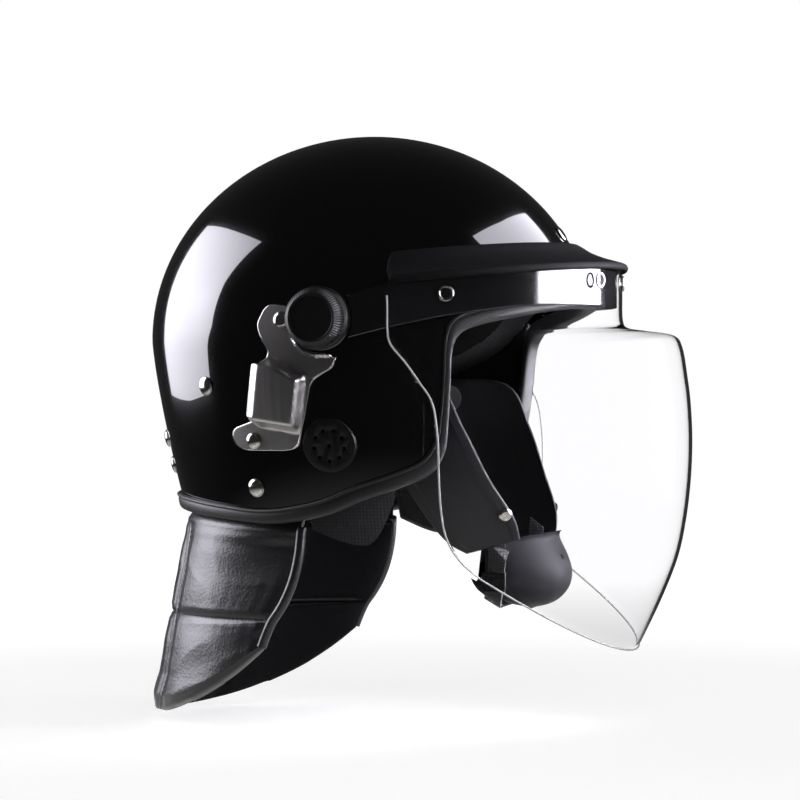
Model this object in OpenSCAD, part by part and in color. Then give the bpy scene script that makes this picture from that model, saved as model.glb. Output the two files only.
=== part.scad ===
// Riot helmet: moulded shell with a padded inside, a lifting clear visor on two clamp knobs,
// stamped mask brackets, a swinging chin harness and a quilted neck guard.
// Millimetres. +X is the front, -Y the wearer's right, +Z up. The origin is the middle of the
// shell's widest line, where the middle of the head sits.

/* [Shell] */
// Half of the shell's length at its widest line
shell_half_length = 135; // [130:1:140]
// Half of the shell's width at its widest line
shell_half_width = 114; // [110:1:118]
// Height of the crown above the widest line
crown_height = 122; // [117:1:127]
// Share by which the skirt has drawn in 100 mm below the widest line
skirt_draw_in = 0.15; // [0.13:0.01:0.17]
// Wall of the moulded shell
shell_wall = 4; // [3:0.5:5]
// Height of the brow edge above the widest line
brow_height = 21; // [17:1:24]
// Azimuth of the face opening's side edge, in degrees from the front
face_angle = 56; // [54:1:58]
// Depth of the skirt below the widest line, at the ears
skirt_depth = 104.5; // [102:0.5:107]
// Depth of the shell's edge at the nape
nape_depth = 97; // [95:0.5:99]

/* [Edge trim] */
// How far the trim's lips reach up the wall from the edge
trim_lip = 6.5; // [5.5:0.5:8]
// Thickness of the trim's rubber
trim_rubber = 2.7; // [2.2:0.1:3]

/* [Inside] */
// Thickness of the foam liner
liner_foam = 15; // [12:1:17]
// Thickness of the comfort band
band_foam = 4; // [3:0.5:6]
// Thickness of the crown pad
crown_pad_foam = 9; // [6:1:12]
// Radius of the crown pad, measured along the liner
crown_pad_radius = 45; // [38:1:52]
// Thickness of the ear pads
ear_pad_foam = 9; // [7:0.5:10]
// Depth of the ear pads' hanging flaps below the widest line
ear_flap_depth = 121; // [116:1:125]

/* [Ear vents] */
// Radius of the vent's flange
vent_flange_r = 16; // [15:0.5:17]
// Radius of the vent's barrel
vent_barrel_r = 12.5; // [11.5:0.5:13.5]
// Radius of each sound hole
vent_hole_r = 1.2; // [0.9:0.1:1.4]
// Sound holes in the ring
vent_holes = 9; // [7:1:10]

/* [Rivets] */
// Radius of a shell rivet's head
rivet_head_r = 5.4; // [4.8:0.2:5.8]
// Radius of a rivet's shank
rivet_shank_r = 2; // [1.6:0.1:2.4]
// Height of a rivet's head
rivet_dome = 2.2; // [1.6:0.1:2.6]

/* [Visor pivot] */
// Distance of the visor's pivot ahead of the shell's middle
pivot_x = 6; // [3:1:9]
// Height of the visor's pivot
pivot_z = 10; // [8:1:12]
// Radius of the pivot bolt
bolt_r = 3; // [2.5:0.25:3.5]
// Radius of the visor's hub discs
hub_r = 18; // [17:0.5:19]
// Radius of the knob's grip
knob_r = 17; // [15.5:0.5:17.5]
// Height of the knob
knob_height = 15; // [13:0.5:18]
// Radius of the flat disc on the knob's face
knob_face_r = 13.4; // [12:0.2:15]
// Ribs round the knob
knob_ribs = 44; // [36:4:48]

/* [Visor] */
// Thickness of the lens
lens_wall = 3; // [2:0.5:3.5]
// Thickness of the visor frame and its arms
frame_wall = 3; // [2:0.5:3.5]
// Space between the shell's front and the visor frame
brow_gap = 9.7; // [8.5:0.5:12]
// Height of the frame's upper edge at the front
band_top = 41; // [39:1:43]
// Height of the frame's lower edge at the front
frame_bottom = 18.5; // [16:0.5:21]
// Height of the lens's shelf at the front
shelf_height = 4; // [2:0.5:6]
// Reach of the bubble ahead of the shell's middle
bubble_reach = 193; // [188:1:198]
// Depth of the lens's lower edge at the front
lens_depth = 182; // [174:1:190]
// Thickness of the brow seal
seal_rubber = 2.6; // [2:0.2:3]
// Height at which the brow seal meets the shell at the front
seal_height = 54.5; // [53:0.5:57]

/* [Mask brackets] */
// Thickness of the stamped sheet
bracket_sheet = 1.5; // [1:0.25:2]
// Height of the bridge above the shell
bridge_rise = 9.5; // [8.5:0.5:11]
// Width of the bridge's raised face
bridge_width = 22.5; // [20:0.5:25]
// Length of the bridge's raised face
bridge_length = 29; // [26:0.5:30]

/* [Chin harness] */
// Distance of the harness anchors ahead of the shell's middle
anchor_x = 25; // [22:1:28]
// Depth of the harness anchors below the widest line
anchor_depth = 35; // [32:1:38]
// Radius of the anchor pins
anchor_pin_r = 4; // [3:0.5:5]
// Thickness of the cheek pieces
cheek_leather = 2.4; // [1.6:0.2:3]
// Half of the chin cup's width
cup_half_width = 43; // [40:1:46]
// Wall of the chin cup
cup_wall = 2.6; // [2:0.2:3.2]
// Width of the under-jaw strap
strap_width = 11; // [10:1:14]
// Thickness of the under-jaw strap
strap_thickness = 1.8; // [1.2:0.2:2.4]

/* [Neck guard] */
// Thickness of the guard between its seams
guard_pad = 11; // [9:0.5:13]
// Thickness of the guard at its seams and edges
guard_seam = 4; // [3:0.5:5]
// Depth of the guard's lower edge at the back
guard_depth = 224; // [214:1:230]
// Depth of the guard's front corners
guard_corner = 171; // [168:1:176]
// Height of the seam across the guard
guard_seam_z = -163; // [-166:1:-158]
// How far the guard's lower edge stands behind the shell's middle
guard_reach = 136; // [133:1:139]

/* [Hidden] */
$fn = 48;
// Clearance of pieces that lie against each other
seat = 0.3;
// How far the flats of a curved wall can lie inside its true curve
facet = 0.5;
// Radial clearance of a pin that turns in its bore
running = 0.05;
// Radial clearance of a rivet in its hole
rivet_fit = 0.1;

// The shell's surface: an ellipsoid above its widest line, a skirt that draws in below it
function crown_share(z) =
    z > 0 ? sqrt(max(0, 1 - pow(z / crown_height, 2))) : 1 - skirt_draw_in * pow(-z / 100, 1.3);
function skirt_slope(z) = 0.013 * skirt_draw_in * pow(-z / 100, 0.3);
function unit(v) = v / norm(v);
function on_shell(az, z) = let (f = crown_share(z))
    [shell_half_length * f * cos(az), shell_half_width * f * sin(az), z];
function outward(p) = unit([
    p.x / pow(shell_half_length, 2),
    p.y / pow(shell_half_width, 2),
    p.z > 0 ? p.z / pow(crown_height, 2) : -crown_share(p.z) * skirt_slope(p.z)
]);
function off_shell(p, g) = p + g * outward(p);
function skin(az, z, g) = off_shell(on_shell(az, z), g);
function azimuth_at(x, z) = acos(x / (shell_half_length * crown_share(z)));

// Where a ray from the origin meets the shell
function reach(dz, r, t, steps) = steps == 0 ? t : reach(dz, r, crown_share(t * dz) / r, steps - 1);
function cast(d) = let (r = norm([d.x / shell_half_length, d.y / shell_half_width]))
    d.z > 0 ? d / norm([r, d.z / crown_height]) : d * reach(d.z, r, 1 / r, 8);
function swing(p, q, t) = let (w = acos(p * q)) (sin((1 - t) * w) * p + sin(t * w) * q) / sin(w);

// A smooth curve through a row of points, two steps to each interval
function spline_at(p, k, t) = let (
    n = len(p), a = p[max(0, k - 1)], b = p[k], c = p[min(n - 1, k + 1)], d = p[min(n - 1, k + 2)])
    0.5 * (2 * b + t * (c - a) + t * t * (2 * a - 5 * b + 4 * c - d)
        + t * t * t * (3 * b - a - 3 * c + d));
function smooth(p, per) = [
    for (k = [0:len(p) - 2]) for (j = [0:per - 1]) spline_at(p, k, j / per),
    p[len(p) - 1]
];
function mirror_path(p) = concat(p, [for (k = [len(p) - 2:-1:1]) [-p[k][0], p[k][1]]]);

// The shell's edge, as azimuth and height, from the brow to the nape
function skirt_line(az) = -skirt_depth
    + (skirt_depth - nape_depth) * pow(sin(min(90, max(0, (az - 108) / 72 * 90))), 1.3);
EDGE_HALF = smooth([
    [0, brow_height], [0.23 * face_angle, brow_height - 0.8], [0.46 * face_angle, brow_height - 3],
    [0.68 * face_angle, brow_height - 7], [0.86 * face_angle, brow_height - 11.5],
    [0.965 * face_angle, brow_height - 17], [face_angle, brow_height - 27],
    [face_angle, brow_height - 48], [face_angle, 56.5 - skirt_depth],
    [face_angle + 0.5, 41 - skirt_depth], [face_angle + 4, 29 - skirt_depth],
    [face_angle + 12, 21.5 - skirt_depth], [face_angle + 22, 14.5 - skirt_depth],
    [face_angle + 34, 5 - skirt_depth], [106, skirt_line(106)],
    [122, skirt_line(122)], [140, skirt_line(140)], [160, skirt_line(160)], [180, skirt_line(180)]
], 2);
EDGE = [for (e = mirror_path(EDGE_HALF)) unit(on_shell(e[0], e[1]))];
LINER_EDGE = [for (e = mirror_path(smooth([
    [0, brow_height + 14], [25, brow_height + 12], [50, brow_height], [68, -8], [85, -23],
    [105, -28], [130, -38], [155, -50], [180, -54]], 2))) unit(on_shell(e[0], e[1]))];
CROWN = unit([-0.55, 0, 0.835]);

// The direction a distance up the wall from an edge
function up_wall(edge, s) = swing(CROWN, edge, 1 - s / (norm(cast(edge)) * acos(CROWN * edge) * PI / 180));
function edge_skin(edge, s, g) = off_shell(cast(up_wall(edge, s)), g);

// Solids from points: the faces are turned outwards by the sign of the volume
function volume(points, faces) = [for (f = faces) 1]
    * [for (f = faces) points[f[0]] * cross(points[f[1]], points[f[2]])];
module solid(points, faces) {
    turned = volume(points, faces) > 0 ? [for (f = faces) [f[2], f[1], f[0]]] : faces;
    polyhedron(points, turned);
}
function split(a, b, c, d) = [[a, b, c], [a, c, d]];

// A wall between two grids of rows and columns, closed round its border
module sheet(front, back) {
    rows = len(front);
    cols = len(front[0]);
    n = rows * cols;
    points = [for (row = concat(front, back)) each row];
    border = concat(
        [for (j = [0:cols - 2]) j], [for (i = [0:rows - 2]) i * cols + cols - 1],
        [for (j = [cols - 1:-1:1]) (rows - 1) * cols + j], [for (i = [rows - 1:-1:1]) i * cols]);
    faces = concat(
        [for (i = [0:rows - 2], j = [0:cols - 2]) let (a = i * cols + j)
            each split(a, a + 1, a + cols + 1, a + cols)],
        [for (i = [0:rows - 2], j = [0:cols - 2]) let (a = n + i * cols + j)
            each split(a + cols, a + cols + 1, a + 1, a)],
        [for (k = [0:len(border) - 1]) let (a = border[k], b = border[(k + 1) % len(border)])
            each split(b, a, a + n, b + n)]);
    solid(points, faces);
}

// The outward direction at each point of a grid, from its neighbours
function grid_normal(g, i, j, sign) = sign * unit(cross(
    g[i][min(len(g[0]) - 1, j + 1)] - g[i][max(0, j - 1)],
    g[min(len(g) - 1, i + 1)][j] - g[max(0, i - 1)][j]));
function grid_offset(g, d, sign) = [for (i = [0:len(g) - 1])
    [for (j = [0:len(g[0]) - 1]) g[i][j] + d * grid_normal(g, i, j, sign)]];

// A closed bowl between two sets of rings, each with a point at its top
module bowl(top, rings, inner_top, inner_rings) {
    n = len(rings[0]);
    m = len(rings);
    points = concat([top], [for (r = rings) each r], [inner_top], [for (r = inner_rings) each r]);
    base = 1 + m * n;
    faces = concat(
        [for (j = [0:n - 1]) [0, 1 + j, 1 + (j + 1) % n]],
        [for (j = [0:n - 1]) [base, base + 1 + (j + 1) % n, base + 1 + j]],
        [for (i = [0:m - 2], j = [0:n - 1]) let (a = 1 + i * n + j, b = 1 + i * n + (j + 1) % n)
            each split(a, a + n, b + n, b)],
        [for (i = [0:m - 2], j = [0:n - 1])
            let (a = base + 1 + i * n + j, b = base + 1 + i * n + (j + 1) % n)
            each split(b, b + n, a + n, a)],
        [for (j = [0:n - 1]) let (a = 1 + (m - 1) * n + j, b = 1 + (m - 1) * n + (j + 1) % n)
            each split(a, a + base, b + base, b)]);
    solid(points, faces);
}

// A closed ring swept through a list of closed cross-sections
module ring(sections) {
    n = len(sections);
    m = len(sections[0]);
    faces = [for (i = [0:n - 1], j = [0:m - 1]) let (u = (i + 1) % n, v = (j + 1) % m)
        each split(i * m + j, i * m + v, u * m + v, u * m + j)];
    solid([for (s = sections) each s], faces);
}

// Stands children at a place on the shell, with +Z pointing straight out of it
module at_skin(az, z, g) {
    n = outward(on_shell(az, z));
    translate(skin(az, z, g)) rotate([0, acos(n.z), atan2(n.y, n.x)]) children();
}

// Stands children on the visor's pivot line, with +Z pointing out of the right or left side
module at_pivot(side, out) {
    translate([pivot_x, side * out, pivot_z]) rotate([-90 * side, 0, 0]) children();
}

// A copy of a right-hand piece for the left-hand side
module on_side(side) {
    if (side < 0) children();
    else mirror([0, 1, 0]) children();
}

// Layers of the pivot, counted from the middle of the helmet outwards
pivot_az = azimuth_at(pivot_x, pivot_z);
shell_side = on_shell(pivot_az, pivot_z).y;
base_face = shell_side + 1.7;
hub_in = base_face + seat;
hub_out = hub_in + frame_wall;
washer_in = hub_out + seat;
washer_out = washer_in + 1;
knob_in = washer_out + seat;
knob_out = knob_in + knob_height;
bolt_tip = knob_in + 0.7 * knob_height;
bolt_head_r = 7;
bolt_head = 3.5;
base_r = hub_r - 3;

// Rivets, as azimuth and height on the shell
BRACKET_RIVETS = [[azimuth_at(-18, 9.4), 9.4], [azimuth_at(-38.5, -58.9), -58.9]];
SIDE_RIVETS = [[azimuth_at(-40.5, -86.5), -86.5], [azimuth_at(-72, -28), -28]];
REAR_RIVETS = [[163.5, -59], [166.4, -75]];
BROW_RIVET = [0, 62];
VENT = [azimuth_at(7.5, -61.5), -61.5];
bracket_in = 0.8;
bracket_out = bracket_in + bracket_sheet;

// A domed rivet through a wall of a given grip, its head at the outside
module rivet(head_r, dome, grip) {
    ball = (head_r * head_r + dome * dome) / (2 * dome);
    intersection() {
        translate([0, 0, dome - ball]) sphere(ball);
        cylinder(r = head_r + 1, h = dome);
    }
    translate([0, 0, -grip]) cylinder(r = rivet_shank_r, h = grip + 0.5 * dome);
    translate([0, 0, -grip - 1]) cylinder(r = 0.8 * head_r, h = 1);
}
module rivet_holes(places, r) {
    for (side = [-1, 1], p = places)
        on_side(side) at_skin(-p[0], p[1], -20) cylinder(r = r, h = 40);
}
// Room in the foam for a rivet's closed end
module rivet_pockets(places) {
    for (side = [-1, 1], p = places)
        on_side(side) at_skin(-p[0], p[1], -shell_wall - 3.5) cylinder(r = rivet_head_r + 1, h = 12);
}

module shell() {
    steps = 14;
    outer = concat(
        [for (k = [1:steps]) [for (e = EDGE) off_shell(cast(swing(CROWN, up_wall(e, trim_lip), k / steps)), 0)]],
        [[for (e = EDGE) edge_skin(e, 0, 0)]]);
    inner = concat(
        [for (k = [1:steps]) [for (e = EDGE)
            off_shell(cast(swing(CROWN, up_wall(e, trim_lip), k / steps)), -shell_wall)]],
        [[for (e = EDGE) edge_skin(e, 0, -shell_wall)]]);
    color("#141416") difference() {
        bowl(cast(CROWN), outer, off_shell(cast(CROWN), -shell_wall), inner);
        rivet_holes(concat(BRACKET_RIVETS, SIDE_RIVETS, REAR_RIVETS), rivet_shank_r + rivet_fit);
        at_skin(BROW_RIVET[0], BROW_RIVET[1], -20) cylinder(r = rivet_shank_r + rivet_fit, h = 40);
        for (side = [-1, 1]) {
            on_side(side) at_skin(-VENT[0], VENT[1], -20) cylinder(r = vent_barrel_r + rivet_fit, h = 40);
            at_pivot(side, shell_side - 20) cylinder(r = bolt_r + rivet_fit, h = 40);
        }
    }
}

module edge_trim() {
    back = -shell_wall - seat;
    profile = [
        [trim_lip, seat], [trim_lip, seat + 0.6 * trim_rubber], [trim_lip - 1.4, seat + trim_rubber],
        [-1.4, seat + trim_rubber], [-seat - trim_rubber, 1], [-seat - trim_rubber, -shell_wall],
        [-1.6, back - 0.8 * trim_rubber], [trim_lip - 1.4, back - 0.8 * trim_rubber],
        [trim_lip, back - 0.5 * trim_rubber], [trim_lip, back], [-seat, back], [-seat, seat]
    ];
    color("#1c1c1e") ring([for (e = EDGE) [for (p = profile) edge_skin(e, p[0], p[1])]]);
}

// Foam between the shell and the head
liner_out = -shell_wall - 1;
liner_in = liner_out - liner_foam;
module impact_liner() {
    steps = 9;
    function rings(g) = [for (k = [1:steps])
        [for (e = LINER_EDGE) off_shell(cast(swing(CROWN, e, k / steps)), g)]];
    color("#2b2b2e") difference() {
        bowl(off_shell(cast(CROWN), liner_out), rings(liner_out),
            off_shell(cast(CROWN), liner_in), rings(liner_in));
        rivet_pockets(concat([BRACKET_RIVETS[0]], [SIDE_RIVETS[1]]));
        at_skin(BROW_RIVET[0], BROW_RIVET[1], -shell_wall - 3.5) cylinder(r = rivet_head_r + 1, h = 12);
        for (side = [-1, 1])
            at_pivot(side, shell_side - shell_wall - bolt_head - 4) cylinder(r = bolt_head_r + 1.5, h = 15);
    }
}

module comfort_band() {
    out = liner_in - 1.2;
    band_height = 26;
    function mid(az) = 20 + 21 * cos(az);
    profile = [
        [-0.5, 0], [0.5, 0], [0.5, -0.6], [0.3, -1], [-0.3, -1], [-0.5, -0.6]
    ];
    color("#3a3a3e") ring([for (az = [0:7.5:359]) [for (p = profile)
        skin(az, mid(az) + p[0] * band_height, out + p[1] * band_foam)]]);
}

module crown_pad() {
    out = liner_in - 1.2;
    top = unit([-0.05, 0, 1]);
    function spoke(a, r) = let (w = r / crown_height * 180 / PI)
        unit([sin(w) * cos(a) - 0.05, sin(w) * sin(a), cos(w)]);
    function rings(g, grow) = [for (k = [1:4]) [for (a = [0:20:359])
        off_shell(cast(spoke(a, crown_pad_radius * grow * k / 4)), g)]];
    color("#3a3a3e") bowl(off_shell(cast(top), out), rings(out, 1),
        off_shell(cast(top), out - crown_pad_foam), rings(out - crown_pad_foam, 0.86));
}

// An ear pad covers the ear inside the skirt, and its flap hangs below the edge
module ear_pad(side) {
    out = -shell_wall - seat - 0.8 * trim_rubber - 0.6;
    rows = 9;
    cols = 8;
    function drop(u) = lerp(ear_flap_depth - 9, ear_flap_depth, sin(180 * pow(u, 0.75)))
        - 24 * pow(max(0, 0.35 - u) / 0.35, 2);
    function height(u, v) = lerp(-31, -drop(u), v);
    function place(u, v) = skin(-lerp(68, 95, u) + 3 * sin(180 * v), height(u, v), 0);
    function plump(u, v) = pow(sin(180 * lerp(0.06, 0.94, u)) * sin(180 * lerp(0.06, 0.94, v)), 0.4);
    front = [for (i = [0:rows]) [for (j = [0:cols]) let (p = place(j / cols, i / rows))
        off_shell(p, out)]];
    back = [for (i = [0:rows]) [for (j = [0:cols]) let (p = place(j / cols, i / rows))
        off_shell(p, out - 2.5 - (ear_pad_foam - 2.5) * plump(j / cols, i / rows))]];
    color("#222224") on_side(side) sheet(front, back);
}
function lerp(a, b, t) = a + (b - a) * t;

module ear_vent(side) {
    ring_r = 0.56 * vent_flange_r;
    color("#18181a") on_side(side) at_skin(-VENT[0], VENT[1], seat) difference() {
        union() {
            cylinder(r1 = vent_flange_r, r2 = vent_flange_r - 0.8, h = 1.8);
            translate([0, 0, -shell_wall - 1]) cylinder(r = vent_barrel_r, h = shell_wall + 2);
        }
        translate([0, 0, -shell_wall - 2]) {
            cylinder(r = vent_hole_r, h = 20);
            for (k = [0:vent_holes - 1])
                rotate(k * 360 / vent_holes) translate([ring_r, 0, 0]) cylinder(r = vent_hole_r, h = 20);
        }
        translate([0, 0, -shell_wall - 2]) cylinder(r = vent_barrel_r - 1.5, h = shell_wall + 1);
    }
}

// A polygon's corners rounded off, each by its own radius
function rounded(p) = [for (k = [0:len(p) - 1]) let (
    n = len(p), c = [p[k].x, p[k].y], r = p[k].z,
    a = unit([p[(k + n - 1) % n].x, p[(k + n - 1) % n].y] - c),
    b = unit([p[(k + 1) % n].x, p[(k + 1) % n].y] - c),
    half = acos(a * b) / 2, mid = c + unit(a + b) * r / sin(half),
    from = c + a * r / tan(half) - mid, to = c + b * r / tan(half) - mid,
    turn = atan2(cross(from, to), from * to))
    each r == 0 ? [c] : [for (t = [0:3]) mid + [
        from.x * cos(turn * t / 3) - from.y * sin(turn * t / 3),
        from.x * sin(turn * t / 3) + from.y * cos(turn * t / 3)]]];

// The stamped outline, seen from the side: lobe, horn under the knob, web and foot
knob_clear_r = hub_r + 1.5;
function round_knob(a, r) = [pivot_x + r * cos(a), pivot_z + r * sin(a)];
BRACKET = concat(
    [for (a = [162:9:279]) round_knob(a, knob_clear_r)],
    rounded([
        [pivot_x + 7.5, pivot_z - 22.3, 0.5], [10.5, -17, 2], [5, -20.6, 4], [-1.5, -25, 4],
        [-10.8, -62.3, 5], [-18, -64, 3], [-45, -64, 5], [-52.5, -59.5, 2], [-52, -52.5, 3],
        [-40.5, -48.5, 1], [-37, -50.5, 1], [-19, -53, 1.5], [-9.5, -23.5, 1.5], [-26, -9, 1],
        [-31, 1, 2], [-32.5, 6, 2], [-27, 18.5, 4]]));
bridge_lean = 9;
bridge_az = azimuth_at(-19.9, -31.5);

// A raised tray in the bridge's own frame: u to the front, v up, w out of the shell
module tray(u, v, low, top, spread) {
    hw = u / 2;
    hv = v / 2;
    solid([
        [-hw, -hv - 2 * spread, low], [hw + spread, -hv - 2 * spread, low],
        [hw + spread, hv + spread, low], [-hw, hv + spread, low],
        [-hw, -hv, top], [hw, -hv, top], [hw, hv, top], [-hw, hv, top]
    ], [for (f = [[0, 1, 2, 3], [7, 6, 5, 4], [4, 5, 1, 0], [5, 6, 2, 1], [6, 7, 3, 2], [7, 4, 0, 3]])
        each split(f[0], f[1], f[2], f[3])]);
}

module mask_bracket(side) {
    function layer(g) = [for (z = [24:-10:-66]) [for (az = [78:5:118]) skin(-az, z, g)]];
    t = bracket_sheet;
    color("#b9b9bd") on_side(side) difference() {
        union() {
            intersection() {
                sheet(layer(bracket_out), layer(bracket_in));
                rotate([90, 0, 0]) linear_extrude(130) polygon(BRACKET);
            }
            intersection() {
                sheet(layer(bracket_out + 1.8), layer(bracket_in + 0.4));
                rotate([90, 0, 0]) linear_extrude(125) polygon(concat(
                    [for (a = [205:10:275]) round_knob(a, knob_clear_r + 0.4)],
                    [for (a = [275:-10:205]) round_knob(a, knob_clear_r + 2)]));
            }
            at_bridge() difference() {
                union() {
                    tray(bridge_width, bridge_length, seat, bridge_rise, 4);
                    translate([-bridge_width / 2, 0, bridge_rise]) rotate([0, -32, 0])
                        translate([-4.5, -bridge_length / 2 + 0.7, -t - 0.15]) cube([6, bridge_length - 1.4, t]);
                }
                translate([-t, -t * 0.4, -t]) tray(bridge_width, bridge_length, seat - 3, bridge_rise, 5.2);
            }
        }
        for (p = BRACKET_RIVETS) at_skin(-p[0], p[1], -5) cylinder(r = rivet_shank_r + rivet_fit, h = 20);
    }
}
module at_bridge() {
    n = outward(on_shell(-bridge_az, -31.5));
    translate(skin(-bridge_az, -31.5, 0)) rotate([90 - asin(n.z), 0, 0])
        rotate([0, asin(n.x / norm([n.x, n.y])), -bridge_lean]) children();
}

module bracket_rivets() {
    color("#d5d3cf") for (side = [-1, 1], p = BRACKET_RIVETS)
        on_side(side) at_skin(-p[0], p[1], bracket_out + seat)
            rivet(0.87 * rivet_head_r, rivet_dome, bracket_out + 2 * seat + shell_wall + facet);
}

module shell_rivets() {
    color("#d5d3cf") {
        for (side = [-1, 1], p = concat(SIDE_RIVETS, REAR_RIVETS))
            on_side(side) at_skin(-p[0], p[1], seat) rivet(rivet_head_r, rivet_dome, shell_wall + 2 * seat + facet);
        at_skin(BROW_RIVET[0], BROW_RIVET[1], seat) rivet(rivet_head_r, 1.4, shell_wall + 2 * seat + facet);
    }
}

module pivot_bolt(side) {
    inner = shell_side - shell_wall - 2 * seat - facet;
    color("#8d8d92") at_pivot(side, inner - bolt_head) {
        cylinder(r = bolt_head_r, h = bolt_head);
        cylinder(r = bolt_r, h = bolt_tip - inner + bolt_head);
    }
}

module pivot_base(side) {
    function layer(g) = [for (z = [pivot_z + 20:-8:pivot_z - 20])
        [for (az = [pivot_az - 9:3:pivot_az + 9]) skin(side * az, z, g)]];
    color("#1b1b1d") difference() {
        at_pivot(side, base_face - 7) difference() {
            cylinder(r = base_r, h = 7);
            translate([0, 0, -1]) cylinder(r = bolt_r + rivet_fit, h = 9);
        }
        sheet(layer(seat), layer(-9));
    }
}

module pivot_washer(side) {
    color("#9a9a9e") at_pivot(side, washer_in) difference() {
        cylinder(r = bolt_r + 9, h = washer_out - washer_in);
        translate([0, 0, -1]) cylinder(r = bolt_r + rivet_fit, h = 4);
    }
}

// The knob: a plain skirt, a ribbed cone, and a flat disc on its face
module knob(side) {
    skirt = 0.3 * knob_height;
    rib = 0.5;
    teeth = [for (k = [0:2 * knob_ribs - 1]) let (a = k * 180 / knob_ribs, r = knob_r - (k % 2) * rib)
        [r * cos(a), r * sin(a)]];
    color("#161618") at_pivot(side, knob_in) difference() {
        union() {
            cylinder(r = knob_r + 0.6, h = skirt);
            intersection() {
                linear_extrude(knob_height) polygon(teeth);
                union() {
                    cylinder(r = knob_r + 1, h = 0.72 * knob_height);
                    translate([0, 0, 0.72 * knob_height])
                        cylinder(r1 = knob_r + 1, r2 = knob_face_r, h = 0.28 * knob_height);
                }
            }
        }
        translate([0, 0, -1]) cylinder(r = bolt_r + running, h = bolt_tip - knob_in + 1.5);
        translate([0, 0, knob_height - 0.6]) cylinder(r = knob_face_r - 0.8, h = 1);
    }
}

// Neck guard: two rows of padded panels between the seams, from inside the skirt to a flared edge
guard_tuck = shell_wall + seat + 0.8 * trim_rubber + 0.7;
guard_half_width = shell_half_width * crown_share(-nape_depth) - 2;
guard_seam_az = 27;
guard_sink = 3;
guard_out = 1;
// How far the guard stands behind the middle at the back, by height
GUARD_REACH = [
    [-226, guard_reach + 1], [-212, guard_reach + 0.5], [-200, guard_reach - 3.5],
    [-163, guard_reach - 10], [-139, guard_reach - 15.5], [-121, guard_reach - 18.7],
    [-106, guard_reach - 20.6], [-103, guard_reach - 22]
];
// Each row or column: its share of the way, and how full the padding is there
UPPER_ROWS = [
    [0, 0], [0.16, 0], [0.24, 0.1], [0.34, 0.65], [0.5, 1], [0.7, 1], [0.87, 0.85], [0.96, 0.4], [1, 0]
];
LOWER_ROWS = [[0.05, 0.4], [0.18, 0.85], [0.42, 1], [0.66, 1], [0.85, 0.9], [0.95, 0.6], [1, 0.1]];
REAR_COLUMNS = [[0, 1], [0.3, 1], [0.6, 1], [0.82, 0.85], [0.95, 0.4], [1, 0]];
SIDE_COLUMNS = [
    [0.04, 0.4], [0.14, 0.85], [0.3, 1], [0.46, 1], [0.62, 1], [0.77, 1], [0.89, 0.85], [0.96, 0.5], [1, 0]
];
module neck_guard() {
    rows = concat([for (r = UPPER_ROWS) [r, false]], [for (r = LOWER_ROWS) [r, true]]);
    half = concat([for (c = REAR_COLUMNS) [c, false]], [for (c = SIDE_COLUMNS) [c, true]]);
    last = len(half) - 1;
    // Azimuth of the guard's front edge, which slopes back towards the bottom
    function front_az(z) = 97.5 + 10.5 * pow(max(0, (-z - 91) / 80), 3.2);
    function bottom(turn) = -guard_depth + (guard_depth - guard_corner) * pow(turn / 76, 3.1);
    // A point of the guard's outside, on a row and on a column counted from the back
    function place(row, col, side) = let (
        v = row[0][0], lower = row[1],
        far = 180 - front_az(lower ? lerp(guard_seam_z, -guard_corner, v) : lerp(-91, guard_seam_z, v)),
        turn = col[1] ? lerp(guard_seam_az, far, col[0][0]) : guard_seam_az * col[0][0],
        top = skirt_line(180 - turn) + 10,
        z = lower ? lerp(guard_seam_z, bottom(min(76, turn)), v) : lerp(top, guard_seam_z, v),
        f = crown_share(z), inside = !lower && v < 0.2,
        curl = v == 1 && lower ? 2.5 * (guard_seam_z - z) / 60 : 0,
        a = inside ? shell_half_length * f - guard_tuck : lookup(z, GUARD_REACH) - curl,
        b = inside ? shell_half_width * f - guard_tuck : guard_half_width - 3 + 0.05 * (-103 - z) - curl)
        [-a * cos(turn), side * b * sin(turn), z];
    grid = [for (r = rows) concat(
        [for (k = [last:-1:1]) place(r, half[k], -1)], [for (k = [0:last]) place(r, half[k], 1)])];
    full = [for (r = rows) concat(
        [for (k = [last:-1:1]) r[0][1] * half[k][0][1]], [for (k = [0:last]) r[0][1] * half[k][0][1]])];
    // The uppermost rows lie inside the skirt and stay where they are
    function sunk(i) = i < 2 ? 0 : guard_sink;
    function moved(depth) = [for (i = [0:len(grid) - 1]) [for (j = [0:2 * last])
        grid[i][j] - depth(i, full[i][j]) * grid_normal(grid, i, j, guard_out)]];
    color("#1a1a1c") sheet(
        moved(function(i, p) sunk(i) * (1 - p)),
        moved(function(i, p) lerp(guard_seam + sunk(i), guard_pad, p)));
}

// The visor frame and the lens follow ellipses round the shell's middle
band_in_a = shell_half_length + brow_gap;
band_out_a = band_in_a + frame_wall;
lens_in_a = band_out_a + seat;
lens_out_a = lens_in_a + lens_wall;
lens_out_b = hub_out + seat + lens_wall;
visor_edge_x = 44.5;
function oval(a, b, az, z) = [a * cos(az), b * sin(az), z];

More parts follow.
